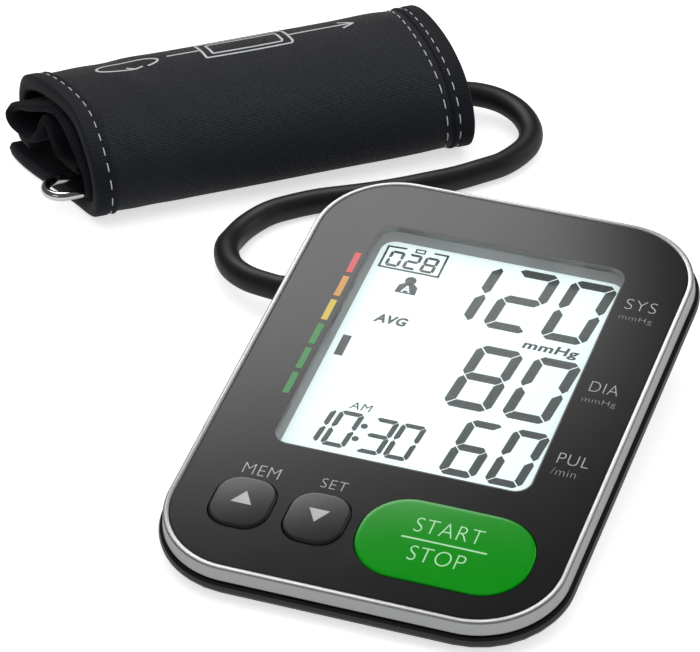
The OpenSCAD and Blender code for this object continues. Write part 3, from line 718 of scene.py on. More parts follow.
@dataclass
class Studio:
    """The camera at the photograph's angle, a pale floor and soft light."""

    focal: float = 203.981
    sensor: float = 36.0
    place: tuple = (262.199, -770.631, 588.794)
    across: tuple = (0.938676, 0.344787, -0.002964)
    down: tuple = (0.190047, -0.524533, -0.829908)
    ahead: tuple = (-0.287696, 0.778452, -0.557892)
    floor_size: float = 12000.0
    floor_drop: float = 0.1
    floor_glow: float = 0.6
    floor_gloss_glow: float = 0.2
    room: float = 0.5
    room_gloss: float = 0.1

    def camera(self) -> None:
        """Puts the camera where the face plate's corners place it."""
        data = bpy.data.cameras.new("view")
        data.lens, data.sensor_width = self.focal, self.sensor
        data.clip_start, data.clip_end = 0.05, 60.0
        cam = bpy.data.objects.new("view", data)
        bpy.context.scene.collection.objects.link(cam)
        cam.matrix_world = axes_matrix(np.array(self.across), -np.array(self.down), -np.array(self.ahead),
                                       np.array(self.place) / 1000)
        bpy.context.scene.camera = cam

    def lamp(self, name: str, place: tuple, aim: tuple, size: tuple, watts: float) -> bpy.types.Object:
        """Hangs a soft box that faces a point.

        Args:
            name: the lamp's name.
            place: its centre, in metres.
            aim: the point that it faces.
            size: its width and height.
            watts: its power.

        Returns:
            The lamp.
        """
        data = bpy.data.lights.new(name, "AREA")
        data.shape, data.size, data.size_y, data.energy = "RECTANGLE", size[0], size[1], watts
        obj = bpy.data.objects.new(name, data)
        bpy.context.scene.collection.objects.link(obj)
        way = np.array(aim, float) - np.array(place, float)
        way /= np.linalg.norm(way)
        side = np.cross(way, [0, 0, 1.0])
        side /= np.linalg.norm(side)
        up = np.cross(side, way)
        obj.matrix_world = axes_matrix(side, up, -way, np.array(place))
        return obj

    def lights(self) -> None:
        """Hangs the soft boxes.

        Top and fill light the object and show in no gloss. The panel, which the sloping face mirrors, and
        the side and front boxes, which the ring mirrors, show in gloss alone.
        """
        for name, place, aim, size, watts, mirrored in (
                ("top", (0.05, -0.25, 1.6), (0, 0.05, 0), (2.0, 2.0), 12, False),
                ("fill", (1.0, -1.1, 0.7), (0, 0, 0), (1.0, 0.8), 4, False),
                ("panel", (-0.16, 0.25, 0.27), (-0.05, 0.06, 0.033), (0.2, 0.17), 0.6, True),
                ("side", (1.0, 0.9, 0.45), (0.03, 0, 0.02), (1.0, 0.6), 3, True),
                ("front", (-0.5, -1.2, 1.1), (0, -0.03, 0.02), (0.8, 0.8), 1.2, True)):
            box = self.lamp(name, place, aim, size, watts)
            box.visible_glossy, box.visible_diffuse = mirrored, not mirrored

    def floor(self) -> None:
        """Lays the floor, whose own light for the camera keeps it near white round the shadow."""
        half = self.floor_size / 2
        corners = np.array([[-half, -half], [half, -half], [half, half], [-half, half]])
        v = np.c_[corners, np.full(4, -self.floor_drop)] / 1000
        mesh = bpy.data.meshes.new("floor")
        mesh.from_pydata(v.tolist(), [], [(0, 1, 2, 3)])
        obj = bpy.data.objects.new("floor", mesh)
        bpy.context.scene.collection.objects.link(obj)
        mat = bpy.data.materials.new("white_paper_sweep")
        mat.use_nodes = True
        tree = mat.node_tree
        tree.nodes.clear()
        paper = add_node(tree, "ShaderNodeBsdfDiffuse", {"Color": (0.86, 0.86, 0.86, 1)})
        path = add_node(tree, "ShaderNodeLightPath").outputs
        eye, gloss = (add_node(tree, "ShaderNodeMath", {1: glow}, {0: path[ray]}, operation="MULTIPLY")
                      for glow, ray in ((self.floor_glow, "Is Camera Ray"),
                                        (self.floor_gloss_glow, "Is Glossy Ray")))
        both = add_node(tree, "ShaderNodeMath", links={0: eye.outputs[0], 1: gloss.outputs[0]},
                        operation="ADD")
        seen = add_node(tree, "ShaderNodeEmission", {"Color": (1, 1, 1, 1)}, {"Strength": both.outputs[0]})
        both = add_node(tree, "ShaderNodeAddShader", links={0: paper.outputs[0], 1: seen.outputs[0]})
        add_node(tree, "ShaderNodeOutputMaterial", links={0: both.outputs[0]})
        mesh.materials.append(mat)

    def world(self) -> None:
        """Fills the room with even light, white where the camera and glass see it and dim in gloss."""
        world = bpy.data.worlds.new("room")
        bpy.context.scene.world = world
        world.use_nodes = True
        tree = world.node_tree
        tree.nodes.clear()
        path = add_node(tree, "ShaderNodeLightPath").outputs
        seen = add_node(tree, "ShaderNodeMath",
                        links={0: path["Is Camera Ray"], 1: path["Is Transmission Ray"]}, operation="MAXIMUM")
        even, dim, white = (add_node(tree, "ShaderNodeBackground", {"Color": (1, 1, 1, 1), "Strength": power})
                            for power in (self.room, self.room_gloss, 1.0))
        lit = add_node(tree, "ShaderNodeMixShader",
                       links={0: path["Is Glossy Ray"], 1: even.outputs[0], 2: dim.outputs[0]})
        mix = add_node(tree, "ShaderNodeMixShader",
                       links={0: seen.outputs[0], 1: lit.outputs[0], 2: white.outputs[0]})
        add_node(tree, "ShaderNodeOutputWorld", links={0: mix.outputs[0]})

    def build(self) -> None:
        """Sets up the camera, lights, floor and world."""
        bpy.context.scene.view_settings.view_transform = "Standard"
        self.camera()
        self.lights()
        self.floor()
        self.world()


# ---- hose ----


@dataclass
class Hose:
    """The air hose from the plug to the cuff."""

    diameter: float = 7.0
    route: list = field(default_factory=lambda: HOSE_ROUTE)
    sides: int = 24

    def build(self) -> None:
        """Draws the hose as a tube along its route, from the plug down to the table and into the cuff."""
        fine, along = evenly(curve_through(np.array(self.route, float), 12), 260)
        # A hose reads softer than a rod: its wall swells and narrows by a few hundredths.
        radius = self.diameter / 2 - 0.03 + 0.02 * np.sin(along / 9.0)
        v, f, uv = tube(fine, radius, self.sides)
        hose = finished("hose_tube", from_table(v), f, HOSE_PVC, "cuff", uv / 1000)
        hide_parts("air_hose")
        length = float(travelled(fine)[-1]) / 1000
        log.info("hose: %.1f mm long", length * 1000)


HOSE_ROUTE = [[-57.8, 49, 9], [-59.8, 49, 9], [-62.3, 49, 9], [-70.5, 50.7, 8.9], [-77.2, 55.5, 8.5],
              [-82.1, 64.8, 7], [-83.7, 74.2, 4.6], [-82.9, 82.5, 3.9], [-79.7, 90.2, 3.9],
              [-75.1, 96.2, 3.6], [-69.2, 101.2, 3.7], [-62.5, 105.8, 3.6], [-55.9, 110.2, 3.6],
              [-49.6, 115, 3.6], [-43.6, 120.1, 3.6], [-37.5, 125.2, 3.7], [-32, 130.5, 4.1],
              [-26.7, 137.2, 4.2], [-23.5, 146.8, 4.5], [-24.8, 154.8, 4.9], [-29.7, 161.3, 5.8],
              [-36.6, 164.6, 6.9], [-44.1, 164.5, 7.8], [-50.99, 161.39, 8.4],
              [-54.02, 158.86, 8.4], [-55.55, 157.57, 8.4]]


# ---- cuff ----


@dataclass
class Cuff:
    """The rolled cuff: cover, bound edges, folded tail, thread, print and metal loop."""

    length: float = 112.0
    cover_t: float = 3.4
    hem_t: float = 0.6
    hem_w: float = 7.0
    fold_t: float = 2.6
    wire: float = 2.6
    overlap: float = 5.1
    loop_bars: tuple = (-18.2, -9.0)
    loop_z: float = 8.0
    cuts: int = 420
    hem_cuts: int = 900
    line_cuts: int = 500

    def __post_init__(self) -> None:
        """Works out the two middle lines of the cross-section.

        The cover's points are across and up. The fold's are across, up, and where its free edge ends.
        """
        low = self.hem_t + self.cover_t / 2 + 0.06
        cover = [[21, low], [6, low], [-8, low], [-18, low + 0.8], [-24.6, 6.6], [-26.4, 12.2], [-24, 18],
                 [-17.5, 23.4], [-8, 26.4], [3, 26.9], [14, 25.4], [22.6, 21.4], [26.4, 15], [25.6, 10.2],
                 [20.8, 7.8], [12.6, low + self.overlap]]
        tail = [[-21.8, 8.8, -57.4], [-22.8, 12.2, -57.6], [-21, 16.5, -57.8], [-15.6, 20.6, -58],
                [-7.5, 23, -58.6], [1.5, 23.4, -59.8], [6.5, 22.4, -61.4], [13, 19.6, -64],
                [18.4, 17.2, -65.8], [21.6, 14.6, -67.2], [21.4, 12.2, -67.4], [18.4, 10.9, -66.8],
                [13, 10.6, -65.4], [9, 11.2, -64.4], [6.6, 13.4, -63.6], [5.6, 16.8, -62.8], [4.9, 19.2, -62.2],
                [3.6, 20.3, -61.6], [2.3, 19.2, -61], [1.8, 16, -60.2], [1.2, 13, -59.6], [-0.8, 11.1, -59.2],
                [-4.5, 10.7, -58.8], [-9, 11.4, -58.2], [-14, 12.8, -57.4]]
        self.cover_line = curve_through(np.array(cover, float), 14)
        folds = curve_through(np.array(tail, float), 10)
        self.tail_line, self.tail_edge = folds[:, :2], folds[:, 2]

    def section(self, line: np.ndarray, count: int) -> tuple[np.ndarray, np.ndarray, np.ndarray]:
        """Cuts a cross-section's middle line evenly and finds its left-hand normals.

        Args:
            line: the middle line.
            count: how many points.

        Returns:
            Points, normals and how far along each is.
        """
        p, s = evenly(line, count)
        t = unit(np.gradient(p, axis=0))
        return p, np.stack([-t[:, 1], t[:, 0]], -1), s

    def thick_sheet(self, name: str, line: np.ndarray, count: int, xs: np.ndarray, half: Callable,
                    shift: Callable, finish: Finish, round_ends: float = 1.2) -> bpy.types.Object:
        """Makes a closed thick sheet that follows a cross-section, with round edges.

        Its two faces lie half a thickness each side of the middle line, shifted along the normal by a
        wrinkle. The thickness falls almost to nothing at the edges as a quarter circle does.

        Args:
            name: the piece's name.
            line: the middle line.
            count: points along it.
            xs: places along the roll, one grid row each; it may be a grid of x by s.
            half: function of x and s that gives half the thickness.
            shift: function of x and s that gives the wrinkle.
            finish: its finish.
            round_ends: radius of the edges along the roll.

        Returns:
            The object.
        """
        p, n, s = self.section(line, count)
        x = xs if xs.ndim == 2 else np.repeat(xs[:, None], count, 1)
        sg = np.broadcast_to(s[None], x.shape)
        t, w = half(x, sg), shift(x, sg)
        # It thins at the roll's ends and at the cloth's own ends.
        t = t * edge_fall(np.minimum(x - x[:1], x[-1:] - x), round_ends) * edge_fall(
            np.minimum(sg, s[-1] - sg), round_ends)
        sides = []
        for sign in (1, -1):
            yz = p[None] + n[None] * (w + sign * t)[..., None]
            sides.append(np.concatenate([x[..., None], yz], -1))
        rows, cols = x.shape
        v = np.vstack([g.reshape(-1, 3) for g in sides])
        f = grid_faces(rows, cols)
        far = rows * cols
        i, j = np.arange(rows - 1), np.arange(cols - 1)
        rim = [np.stack([i * cols, (i + 1) * cols, (i + 1) * cols + far, i * cols + far], -1),
               np.stack([i * cols + cols - 1, i * cols + cols - 1 + far, (i + 1) * cols + cols - 1 + far,
                         (i + 1) * cols + cols - 1], -1),
               np.stack([j, j + far, j + 1 + far, j + 1], -1),
               np.stack([(rows - 1) * cols + j, (rows - 1) * cols + j + 1, (rows - 1) * cols + j + 1 + far,
                         (rows - 1) * cols + j + far], -1)]
        faces = np.vstack([f, f[:, ::-1] + far] + rim)
        uv = np.stack([x, sg], -1).reshape(-1, 2)
        verts = from_cuff(v)
        return finished(name, verts, faces, finish, "cuff", np.vstack([uv, uv]) / 1000,
                        flip=volume(verts, faces) < 0)

    def skew(self, s: np.ndarray) -> np.ndarray:
        """How far the unevenly rolled left end stands out: most at the back, more so in the bottom layer.

        Args:
            s: place along the cover's cross-section.

        Returns:
            Distance beyond the even end.
        """
        p, _, along = self.section(self.cover_line, self.line_cuts)
        y, z = np.interp(s, along, p[:, 0]), np.interp(s, along, p[:, 1])
        low, upper, under = (np.clip(v, 0, 1) for v in ((12 - z) / 8, (y + 12) / 38, (y + 22) / 44))
        low, upper, under = (v * v * (3 - 2 * v) for v in (low, upper, under))
        return (1 - low) * 5.8 * upper + low * 11 * under

    def wrinkle(self, x: np.ndarray, s: np.ndarray) -> np.ndarray:
        """Slack in the cover: long waves along the roll, with small pulls beside the bound edges.

        Args:
            x: place along the roll.
            s: place along the cross-section.

        Returns:
            Shift along the normal.
        """
        edge = bell(np.abs(x) - 45, 9)
        slack = (0.16 * np.sin(x / 19 + s / 23) * np.sin(s / 17 + 0.6) + 0.13 * np.sin(x / 7.1 - s / 31 + 1)
                 * np.sin(s / 11) + 0.3 * edge * np.sin(s / 6.5 + x / 9)
                 + 0.35 * bell(x + 37, 8) * np.sin(s / 5.2 + x / 4))
        # The bottom layer lies flat on the table, so it has no slack.
        return slack * np.clip((s - 40) / 10, 0, 1)

    def on_cover(self, x: np.ndarray, s: np.ndarray, lift: float) -> np.ndarray:
        """Points over the cover's outer surface.

        Args:
            x: places along the roll.
            s: places along the cross-section.
            lift: height over the cloth.

        Returns:
            Points in the cuff's frame.
        """
        p, n, along = self.section(self.cover_line, self.line_cuts)
        at = [np.interp(s, along, a) for a in (p[:, 0], p[:, 1], n[:, 0], n[:, 1])]
        half = self.cover_t / 2 + self.puff(x, s)
        out = half + lift + self.wrinkle(x, s)
        return np.stack([x, at[0] + at[2] * out, at[1] + at[3] * out], -1)

    def puff(self, x: np.ndarray, s: np.ndarray) -> np.ndarray:
        """The padding's fullness, which the stitching at the edges pulls down.

        Args:
            x: place along the roll.
            s: place along the cross-section.

        Returns:
            What it adds to half the thickness.
        """
        even = np.abs(np.where(x < 0, np.minimum(x + self.skew(s), 0), x))
        return 0.35 * (1 - bell(self.length / 2 - self.hem_w - even, 5)) - 0.15

    def cover(self) -> None:
        """Makes the outer cover, padded and slightly slack."""
        tuck = 1.5
        reach = self.length / 2 - self.hem_w + tuck
        _, _, s = self.section(self.cover_line, self.cuts)
        rows = np.linspace(-1, 1, 120)[:, None]
        xs = reach * rows - self.skew(s)[None] * (1 - rows) / 2
        obj = self.thick_sheet("cuff_outer_cover", self.cover_line, self.cuts, xs,
                               lambda x, s: self.cover_t / 2 + self.puff(x, s), self.wrinkle, CUFF_CLOTH, 0.8)
        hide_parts("cuff_cover")

    def hem(self, side: int) -> None:
        """Makes one bound edge: tape folded over the cover, with ribs across it.

        Args:
            side: -1 for the left edge, 1 for the right.
        """
        name = "left" if side < 0 else "right"
        a, b = self.length / 2 - self.hem_w, self.length / 2
        xs = np.linspace(a, b, 22) * side
        xs = xs if side > 0 else xs[::-1]
        _, _, along = self.section(self.cover_line, self.hem_cuts)
        out = self.skew(along) * (side < 0)
        xs = xs[:, None] - out[None]

        def half(x: np.ndarray, s: np.ndarray) -> np.ndarray:
            """Tape thickness, with ribs 1.1 mm apart and a hollow under the stitches."""
            inner = np.abs(x + out[None]) - a
            dip, rib = 0.28 * bell(inner - 2.2, 0.7), 1.1
            return self.cover_t / 2 + self.hem_t - 0.1 + 0.03 * np.sin(2 * math.pi * s / rib) - dip

        obj = self.thick_sheet(f"{name}_binding", self.cover_line, self.hem_cuts, xs, half, self.wrinkle,
                               HEM_TAPE, 1.0)
        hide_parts(f"{name}_hem")

    def tail(self) -> None:
        """Makes the folded inner end, whose edge stands out of the roll in uneven lobes."""
        _, _, s = self.section(self.tail_line, self.cuts)
        left = np.interp(s, travelled(self.tail_line), self.tail_edge) + 0.25 * np.sin(s / 3.7)
        rows, short = np.linspace(0, 1, 90)[:, None], 14
        xs = left[None] + rows * (self.length / 2 - short - left[None])

        def half(x: np.ndarray, s: np.ndarray) -> np.ndarray:
            """Cloth, with a rolled seam along the free edge."""
            return self.fold_t / 2 - 0.25 + 0.28 * bell(x - left[None] - 1.6, 1.1)

        def wave(x: np.ndarray, s: np.ndarray) -> np.ndarray:
            """Soft waves that grow towards the free edge."""
            grow = np.clip((-x - 30) / 38, 0, 1) ** 2
            return grow * (0.35 * np.sin(s / 4.1 + x / 11) + 0.25 * np.sin(s / 9.0 - x / 6)) * 0.8

        obj = self.thick_sheet("cuff_inner_fold", self.tail_line, self.cuts, xs, half, wave, TAIL_CLOTH, 1.1)
        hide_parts("cuff_tail")

    def stitches(self, name: str, x: float, s0: float, s1: float, lift: float) -> None:
        """Sews a dashed line round the roll at one place: each stitch is a small capsule in the cloth.

        Args:
            name: the piece's name.
            x: place along the roll.
            s0: where it starts along the cross-section.
            s1: where it ends.
            lift: height of the thread's middle over the cloth.
        """
        pitch, run, r, sides, cuts = 4.2, 3.0, 0.17, 8, 7
        starts = np.arange(s0, s1, pitch)
        t = np.linspace(0, 1, cuts)
        s = starts[:, None] + run * t[None]
        place = x - self.skew(s) * (x < 0)
        middle = self.on_cover(place, s, lift)
        up = middle - self.on_cover(place, s, lift - 1.0)
        # Each end dives under the cloth.
        dive = -0.35 * (2 * t - 1) ** 4
        middle = middle + up * dive[:, None]
        a = 2 * math.pi * np.arange(sides) / sides
        swell = np.sqrt(np.clip(1 - (2 * t - 1) ** 6, 0.02, 1))
        ring = np.array([1.0, 0, 0]) * np.cos(a)[:, None] + up[:, :, None] * np.sin(a)[:, None]
        v = middle[:, :, None] + ring * r * swell[:, None, None]
        n = len(starts)
        one = grid_faces(cuts, sides, False, True)
        base = (np.arange(n) * cuts * sides)[:, None]
        faces = (one[None] + base[:, None]).reshape(-1, 4)
        k = np.arange(sides)[None]
        caps = (base + k[:, ::-1]).tolist() + (base + (cuts - 1) * sides + k).tolist()
        verts = from_cuff(v.reshape(-1, 3))
        flip = volume(verts[: cuts * sides], one) < 0
        quads = (faces[:, ::-1] if flip else faces).tolist()
        finished(name, verts, quads + [c[::-1] if flip else c for c in caps], THREAD, "cuff")

    def ribbon(self, name: str, lines: list, width: float) -> None:
        """Prints lines on the cover: each is a flat band that follows the cloth.

        Args:
            name: the piece's name.
            lines: each a list of pairs, along the roll and along the cross-section.
            width: width of a line.
        """
        verts, faces, base = [], [], 0
        for line in lines:
            p, _ = evenly(np.array(line, float), max(6, int(len(line) * 8)))
            t = np.gradient(p, axis=0)
            t /= np.linalg.norm(t, axis=1)[:, None] + 1e-9
            n = np.stack([-t[:, 1], t[:, 0]], -1) * width / 2
            thick = 0.07
            grids = [self.on_cover((p + sign * n)[:, 0], (p + sign * n)[:, 1], lift)
                     for sign, lift in ((-1, 0.0), (1, 0.0), (1, thick), (-1, thick))]
            v, f = closed_bar(np.stack(grids, 1), from_cuff)
            verts.append(v)
            faces += (np.array(f) + base).tolist()
            base += len(v)
        finished(name, np.vstack(verts), faces, CLOTH_PRINT, "cuff", smooth=False)

    def print_marks(self) -> None:
        """Prints plain fitting marks on top of the roll: a strap outline, index lines and a turning arrow."""
        top = 101.0

        def box(x0: float, x1: float, low: float, high: float) -> list:
            """A closed rectangle whose low and high edges are given from the top of the roll."""
            return [[x0, top + low], [x0, top + high], [x1, top + high], [x1, top + low], [x0, top + low]]

        a = np.linspace(-0.3, 1.55, 24) * math.pi
        turn = np.stack([-34 + 9 * np.cos(a), top - 4 + 3.4 * np.sin(a)], -1).tolist()
        tip = turn[-1]
        lines = [turn, [[tip[0] - 2.2, tip[1] + 1.6], tip, [tip[0] + 2.4, tip[1] + 1.0]],
                 box(-12, 14, -9, 3), box(-9.5, 11.5, -6.8, 0.8),
                 [[-22, top - 3], [-12, top - 3]], [[14, top - 3], [34, top - 3]],
                 [[30, top - 5.6], [34, top - 3], [30, top - 0.4]]]
        self.ribbon("cuff_fitting_marks", lines, 0.7)

    def wire_loop(self) -> None:
        """Bends the wire into a long oval that lies in the roll: two straights and two half circles."""
        y0, y1 = self.loop_bars
        r, mid = abs(y1 - y0) / 2, (y0 + y1) / 2
        x0, x1 = -self.length / 2 - 10 + r, self.length / 2 + 2 - r
        a = np.linspace(-math.pi / 2, math.pi / 2, 24)
        right = np.stack([x1 + r * np.cos(a), mid + r * np.sin(a)], -1)
        left = np.stack([x0 - r * np.cos(a), mid - r * np.sin(a)], -1)
        flat = np.vstack([right, left])
        path = np.c_[flat, np.full(len(flat), self.loop_z)]
        v, f, uv = tube(path, np.full(len(path), self.wire / 2), 20, True)
        verts = from_cuff(v)
        obj = finished("chromed_wire_loop", verts, f, CHROME, "cuff", uv / 1000, flip=volume(verts, f) < 0)
        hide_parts("metal_loop")

    def build(self) -> None:
        """Makes every piece of the cuff."""
        self.cover()
        for side in (-1, 1):
            self.hem(side)
        self.tail()
        end = self.section(self.cover_line, self.line_cuts)[2][-1]
        for name, side, inset, lift in (("left_edge", -1, 4.8, 0.35), ("right_edge", 1, 4.8, 0.35),
                                        ("right_inner", 1, 8.6, 0.12)):
            self.stitches(f"{name}_stitches", side * (self.length / 2 - inset), 3, end - 16, lift)
        self.print_marks()
        self.wire_loop()


# ---- monitor ----


class Segment(Enum):
    """The seven bars of a display digit."""

    TOP = "a"
    HIGH_RIGHT = "b"
    LOW_RIGHT = "c"
    BOTTOM = "d"
    LOW_LEFT = "e"
    HIGH_LEFT = "f"
    MIDDLE = "g"


DIGITS: dict[str, str] = {"0": "abcdef", "1": "bc", "2": "abged", "3": "abgcd", "6": "afgedc", "8": "abcdefg"}


@dataclass
class Display:
    """The window, its border and what the display shows."""

    width: float = 67.3
    length: float = 84.4
    y: float = 13.6
    r: float = 4.5
    drop: float = 5.0
    plate_t: float = 1.6

    def bar(self, which: Segment, w: float, h: float, t: float) -> np.ndarray:
        """Outline of one bar of an upright digit whose low left corner is the origin.

        Args:
            which: the bar.
            w: the digit's width.
            h: its height.
            t: the stroke.

        Returns:
            Its corners, counter-clockwise.
        """
        g = 0.1 * t
        m = h / 2
        top = np.array([[t + g, h - t], [w - t - g, h - t], [w - 0.32 * t - g, h - 0.32 * t],
                        [w - 0.8 * t, h], [0.8 * t, h], [0.32 * t + g, h - 0.32 * t]])
        high = np.array([[0, m + 0.45 * t + g], [0.35 * t, m + 0.8 * g], [t, m + 0.75 * t], [t, h - t - g],
                         [0.32 * t, h - 0.32 * t - g], [0, h - 0.8 * t]])
        mid = np.array([[0.35 * t + g, m], [0.79 * t + g, m - 0.5 * t], [w - 0.79 * t - g, m - 0.5 * t],
                        [w - 0.35 * t - g, m], [w - 0.79 * t - g, m + 0.5 * t], [0.79 * t + g, m + 0.5 * t]])
        flip_y, flip_x = np.array([1, -1]), np.array([-1, 1])
        shapes = {
            Segment.TOP: top, Segment.BOTTOM: (top * flip_y + [0, h])[::-1], Segment.HIGH_LEFT: high[::-1],
            Segment.LOW_LEFT: high * flip_y + [0, h], Segment.HIGH_RIGHT: high * flip_x + [w, 0],
            Segment.LOW_RIGHT: (high * flip_x * flip_y + [w, h])[::-1], Segment.MIDDLE: mid}
        p = shapes[which]
        nxt = np.roll(p, -1, 0)
        area = float(np.sum(p[:, 0] * nxt[:, 1] - nxt[:, 0] * p[:, 1]))
        return p if area > 0 else p[::-1]

    def number(self, text: str, x: float, y: float, w: float, h: float, pitch: float, t: float,
               lean: float = 0.105) -> list[np.ndarray]:
        """Outlines of a number's lit bars.

        Args:
            text: its digits.
            x: left of the first digit's cell at its foot.
            y: its foot.
            w: a digit's width.
            h: its height.
            pitch: distance from digit to digit.
            t: the stroke.
            lean: sideways shift for each mm of height.

        Returns:
            The outlines.
        """
        out = []
        for k, digit in enumerate(text):
            for code in DIGITS.get(digit, ""):
                p = self.bar(Segment(code), w, h, t)
                out.append(np.stack([x + k * pitch + p[:, 0] + lean * p[:, 1], y + p[:, 1]], -1))
        return out

    def disc(self, x: float, y: float, r: float, sides: int = 20) -> np.ndarray:
        """Outline of a round dot: x, y plus r times the cosine and sine of even steps."""
        a = 2 * math.pi * np.arange(sides) / sides
        return np.stack([x + r * np.cos(a), y + r * np.sin(a)], -1)

    def band(self, points: list, width: float) -> list[np.ndarray]:
        """Splits a drawn line into short rectangles of one width.

        Args:
            points: its corners.
            width: the line's width.

        Returns:
            One outline for each straight.
        """
        out = []
        for a, b in zip(points[:-1], points[1:]):
            a, b = np.array(a, float), np.array(b, float)
            t = (b - a) / np.linalg.norm(b - a)
            n = np.array([-t[1], t[0]]) * width / 2
            a, b = a - t * width / 2, b + t * width / 2
            out.append(np.array([a - n, b - n, b + n, a + n]))
        return out

    def shown(self) -> None:
        """Prints the three readings, the clock, the memory place and the small signs on the display."""
        polys = self.number("120", -13.8, 30.4, 12.3, 23.5, 15.35, 2.7)
        polys += self.number("80", 1.15, 0.4, 12.4, 23.5, 15.35, 2.7)
        polys += self.number("60", 7.8, -22.8, 9.6, 20.2, 12.0, 2.3)
        polys += self.number("10", -30.9, -21.6, 6.6, 13.0, 7.4, 1.4)
        polys += self.number("30", -14.2, -21.6, 6.6, 13.0, 7.2, 1.4)
        polys += [self.disc(-14.6, -12.6, 0.9), self.disc(-15.3, -17.4, 0.9)]
        polys += self.number("028", -30.1, 45.6, 3.9, 6.0, 4.75, 0.85, 0.06)
        polys += self.band([[-26.5, 53.1], [-31.2, 52.9], [-31.2, 44.9], [-14.9, 44.9], [-14.9, 53.3],
                            [-18.4, 53.3]], 0.6)
        polys += self.band([[-23.6, 52.4], [-21.2, 52.4], [-21.2, 53.6], [-23.6, 53.6], [-23.6, 52.4]], 0.4)
        polys += [self.disc(-21.2, 41.6, 1.5)]
        polys += [np.array([[-24.0, 36.6], [-18.4, 36.6], [-18.6, 39.4], [-19.8, 40.5], [-22.4, 40.5],
                            [-23.7, 39.4]])]
        polys += [np.array([[-31.1, 10.0], [-28.8, 10.0], [-28.8, 17.6], [-31.1, 17.6]])]
        flat_marks("display_readings", polys, -self.drop, 0.06, INK, "monitor")
        for name, text, box, bold in (("display_average", "AVG", (-25.6, -16.7, 24.5, 27.7), 0.04),
                                      ("display_unit", "mmHg", (14.0, 29.2, 24.7, 28.6), 0.03),
                                      ("display_half_day", "AM", (-20.6, -14.8, -7.5, -5.0), 0.0)):
            word(name, text, box, -self.drop, INK, "monitor", bold, 0.15)
        # The letter takes the display film's finish, so it carries the same painted glow.
        word("display_user_letter", "A", (-22.5, -20.0, 37.0, 39.6), -self.drop + 0.04, DISPLAY, "monitor",
             0.02)

    def build(self) -> None:
        """Makes the lens, its printed border and what the display shows."""
        t = self.plate_t
        gap, border, sunk = 0.05, 0.4, 0.02
        lens = ring_piece("lens_border", [(-gap, 0), (-gap, -t), (-border, -t), (-border, -sunk)],
                          self.width, self.length, self.r, self.y, LENS_EDGE, "monitor")
        g = swept([(-border, -sunk), (-border, -t)], self.width, self.length, self.r)
        g = g + np.array([0, self.y, 0])
        k, n = g.shape[:2]
        top = np.array([[0, self.y, -sunk], [0, self.y, -t]])
        verts = from_face(np.vstack([g.reshape(-1, 3), top]))
        side = grid_faces(k, n, False, True).tolist()
        fans = fan(k * n, 0, n) + fan(k * n + 1, n, n, True)
        pane = finished("clear_lens", verts, [f[::-1] for f in side] + fans, LENS, "monitor", smooth=False)
        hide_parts("display_window")
        self.shown()


@dataclass
class Key:
    """One push button: a crowned cap with a rounded edge."""

    name: str
    x: float
    y: float
    w: float
    l: float
    r: float
    finish: Finish
    body: str
    slot: str
    rise: float = 0.8
    edge: float = 0.5
    drop: float = 0.5

    def crown(self, x: np.ndarray, y: np.ndarray) -> np.ndarray:
        """Height of the cap over the face: it falls with the square of the way out from the middle.

        Args:
            x: places across the face.
            y: places along it.

        Returns:
            The heights.
        """
        u = ((x - self.x) / (self.w / 2)) ** 2
        v = ((y - self.y) / (self.l / 2)) ** 2
        return self.rise - self.drop * (u + v) * 0.5

    def build(self) -> None:
        """Makes the cap: rings that shrink to the middle, a quarter-round edge, a wall and a flange."""
        deep = [-4.5, -3.7]
        a = np.linspace(0, math.pi / 2, 6)
        edge = [(-self.edge + self.edge * math.cos(k), self.edge * (math.sin(k) - 1)) for k in a]
        inner = [(-self.edge - (self.r - self.edge - 0.3) * k, 0.0) for k in np.linspace(0.08, 1, 9)]
        wall = [(-1.5, deep[0]), (1.1, deep[0]), (1.1, deep[1]), (0, deep[1])]
        rings = swept(wall + edge + inner, self.w, self.l, self.r, 12, 12)
        rings[..., 0] += self.x
        rings[..., 1] += self.y
        top = len(wall)
        rings[top:, :, 2] += self.crown(rings[top:, :, 0], rings[top:, :, 1])
        k, n = rings.shape[:2]
        poles = np.array([[self.x, self.y, deep[0]], [self.x, self.y, self.rise]])
        verts = from_face(np.vstack([rings.reshape(-1, 3), poles]))
        faces = grid_faces(k, n, False, True).tolist()
        faces += fan(k * n, 0, n, True) + fan(k * n + 1, (k - 1) * n, n)
        obj = finished(self.name + "_cap", verts, faces, self.finish, self.body)
        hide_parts(self.name + "_button")


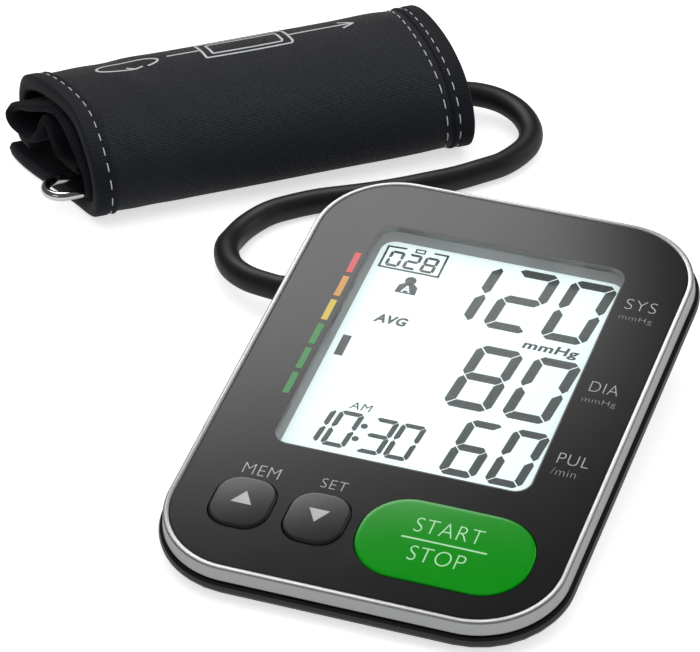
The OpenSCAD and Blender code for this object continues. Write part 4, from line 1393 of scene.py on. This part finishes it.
@dataclass
class Monitor:
    """The sloping case: ring, marks on the plate and the three keys."""

    plate_w: float = 99.0
    plate_l: float = 143.0
    plate_r: float = 20.0
    keys_y: float = -50.8

    def ring(self) -> None:
        """Makes the ring: a flat lip, a rounded bright edge and a band that flares to its foot."""
        a = np.radians(np.linspace(90, 8, 9))
        edge = [(1.35 + 0.45 * math.cos(k), 0.45 * math.sin(k) - 0.45) for k in a]
        profile = [(0.25, -3.9), (0.25, -0.06), (0.31, 0)] + edge + [(2.02, -3.2), (2.1, -3.45), (2.1, -3.7),
                                                                     (1.95, -3.9)]
        obj = ring_piece("silver_trim_ring", profile, self.plate_w, self.plate_l, self.plate_r, 0.0,
                         RING_CHROME, "monitor", 28)
        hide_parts("trim_ring")

    def marks(self) -> None:
        """Prints the colour scale and the words on the plate."""
        x0, x1, height, pitch, top = -36.6, -34.9, 7.8, 9.35, 43.0
        for k, (name, ink) in enumerate((("red", RED_INK), ("orange", ORANGE_INK), ("yellow", YELLOW_INK),
                                         ("high_green", GREEN_INK), ("mid_green", GREEN_INK),
                                         ("low_green", GREEN_INK))):
            y1 = top - k * pitch
            y0 = y1 - height
            flat_marks(f"scale_{name}", [np.array([[x0, y0], [x1, y0], [x1, y1], [x0, y1]])], 0.0, 0.03, ink,
                       "monitor")
        for name, text, box in (("upper_value_label", "SYS", (36.4, 44.6, 41.8, 45.6)),
                                ("lower_value_label", "DIA", (36.8, 44.2, 10.4, 14.0)),
                                ("pulse_label", "PUL", (36.8, 44.8, -16.0, -12.4)),
                                ("memory_label", "MEM", (-36.2, -26.8, -41.0, -37.4)),
                                ("set_label", "SET", (-16.0, -9.3, -40.3, -37.2))):
            word(name, text, box, 0.0, SILVER_INK, "monitor", -0.022)
        for name, text, box in (("upper_unit_label", "mmHg", (36.2, 44.8, 37.3, 39.6)),
                                ("lower_unit_label", "mmHg", (36.2, 44.9, 5.9, 8.2)),
                                ("pulse_unit_label", "/min", (36.5, 42.8, -20.1, -17.6))):
            word(name, text, box, 0.0, GREY_INK, "monitor", -0.022)

    def keys(self) -> None:
        """Makes the three keys, the signs on them and the thin rule between the green key's words."""
        mem = Key("mem", -32.2, self.keys_y, 15.5, 16.7, 6.0, KEY_PC, "mem_key", "key_black")
        down = Key("set", -12.9, self.keys_y, 15.5, 16.7, 6.0, KEY_PC, "set_key", "key_black")
        start = Key("start", 20.0, self.keys_y, 44.2, 26.1, 12.0, START_PC, "start_key", "key_green")
        for key in (mem, down, start):
            key.build()
        for key, way in ((mem, 1), (down, -1)):
            tri = np.array([[-2.7, -1.7 * way], [2.7, -1.7 * way], [0, 2.6 * way]]) + [key.x, key.y + 0.8]
            tri = tri if way > 0 else tri[::-1]
            flat_marks(f"{key.name}_arrow", [tri], key.rise - 0.02, 0.06, SILVER_INK, key.body)
        for text, box in (("START", (11.0, 28.2, -48.6, -43.8)), ("STOP", (12.5, 26.6, -57.9, -53.1))):
            word(f"{text.lower()}_word", text, box, 0.0, PALE_INK, "start_key", -0.018, crown=start.crown)
        left, right, low, high, thick, cuts = 9.0, 30.7, -51.2, -50.7, 0.04, 24
        x = np.linspace(left, right, cuts)
        g = np.stack([np.stack([x, np.full(cuts, y), start.crown(x, np.full(cuts, y)) + z], -1)
                      for y, z in ((low, 0.0), (high, 0.0), (high, thick), (low, thick))], 1)
        finished("start_rule", *closed_bar(g, from_face), PALE_INK, "start_key", smooth=False)

    def build(self) -> None:
        """Makes the monitor's visible pieces over the frame's own."""
        self.ring()
        Display().build()
        self.marks()
        self.keys()


def dress_nodes() -> None:
    """Gives every piece of the frame its own finish."""
    for name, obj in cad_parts.items():
        mat = material(NODE_FINISH[name])
        if not obj.material_slots:
            obj.data.materials.append(mat)
        for place in obj.material_slots:
            place.material = mat


def main() -> None:
    """Builds the scene in order: camera and hose first, then the cuff and the monitor."""
    logging.basicConfig(level=logging.INFO, format="%(name)s: %(message)s")
    Studio().build()
    Hose().build()
    Cuff().build()
    Monitor().build()
    dress_nodes()


if __name__ == "__main__":
    main()
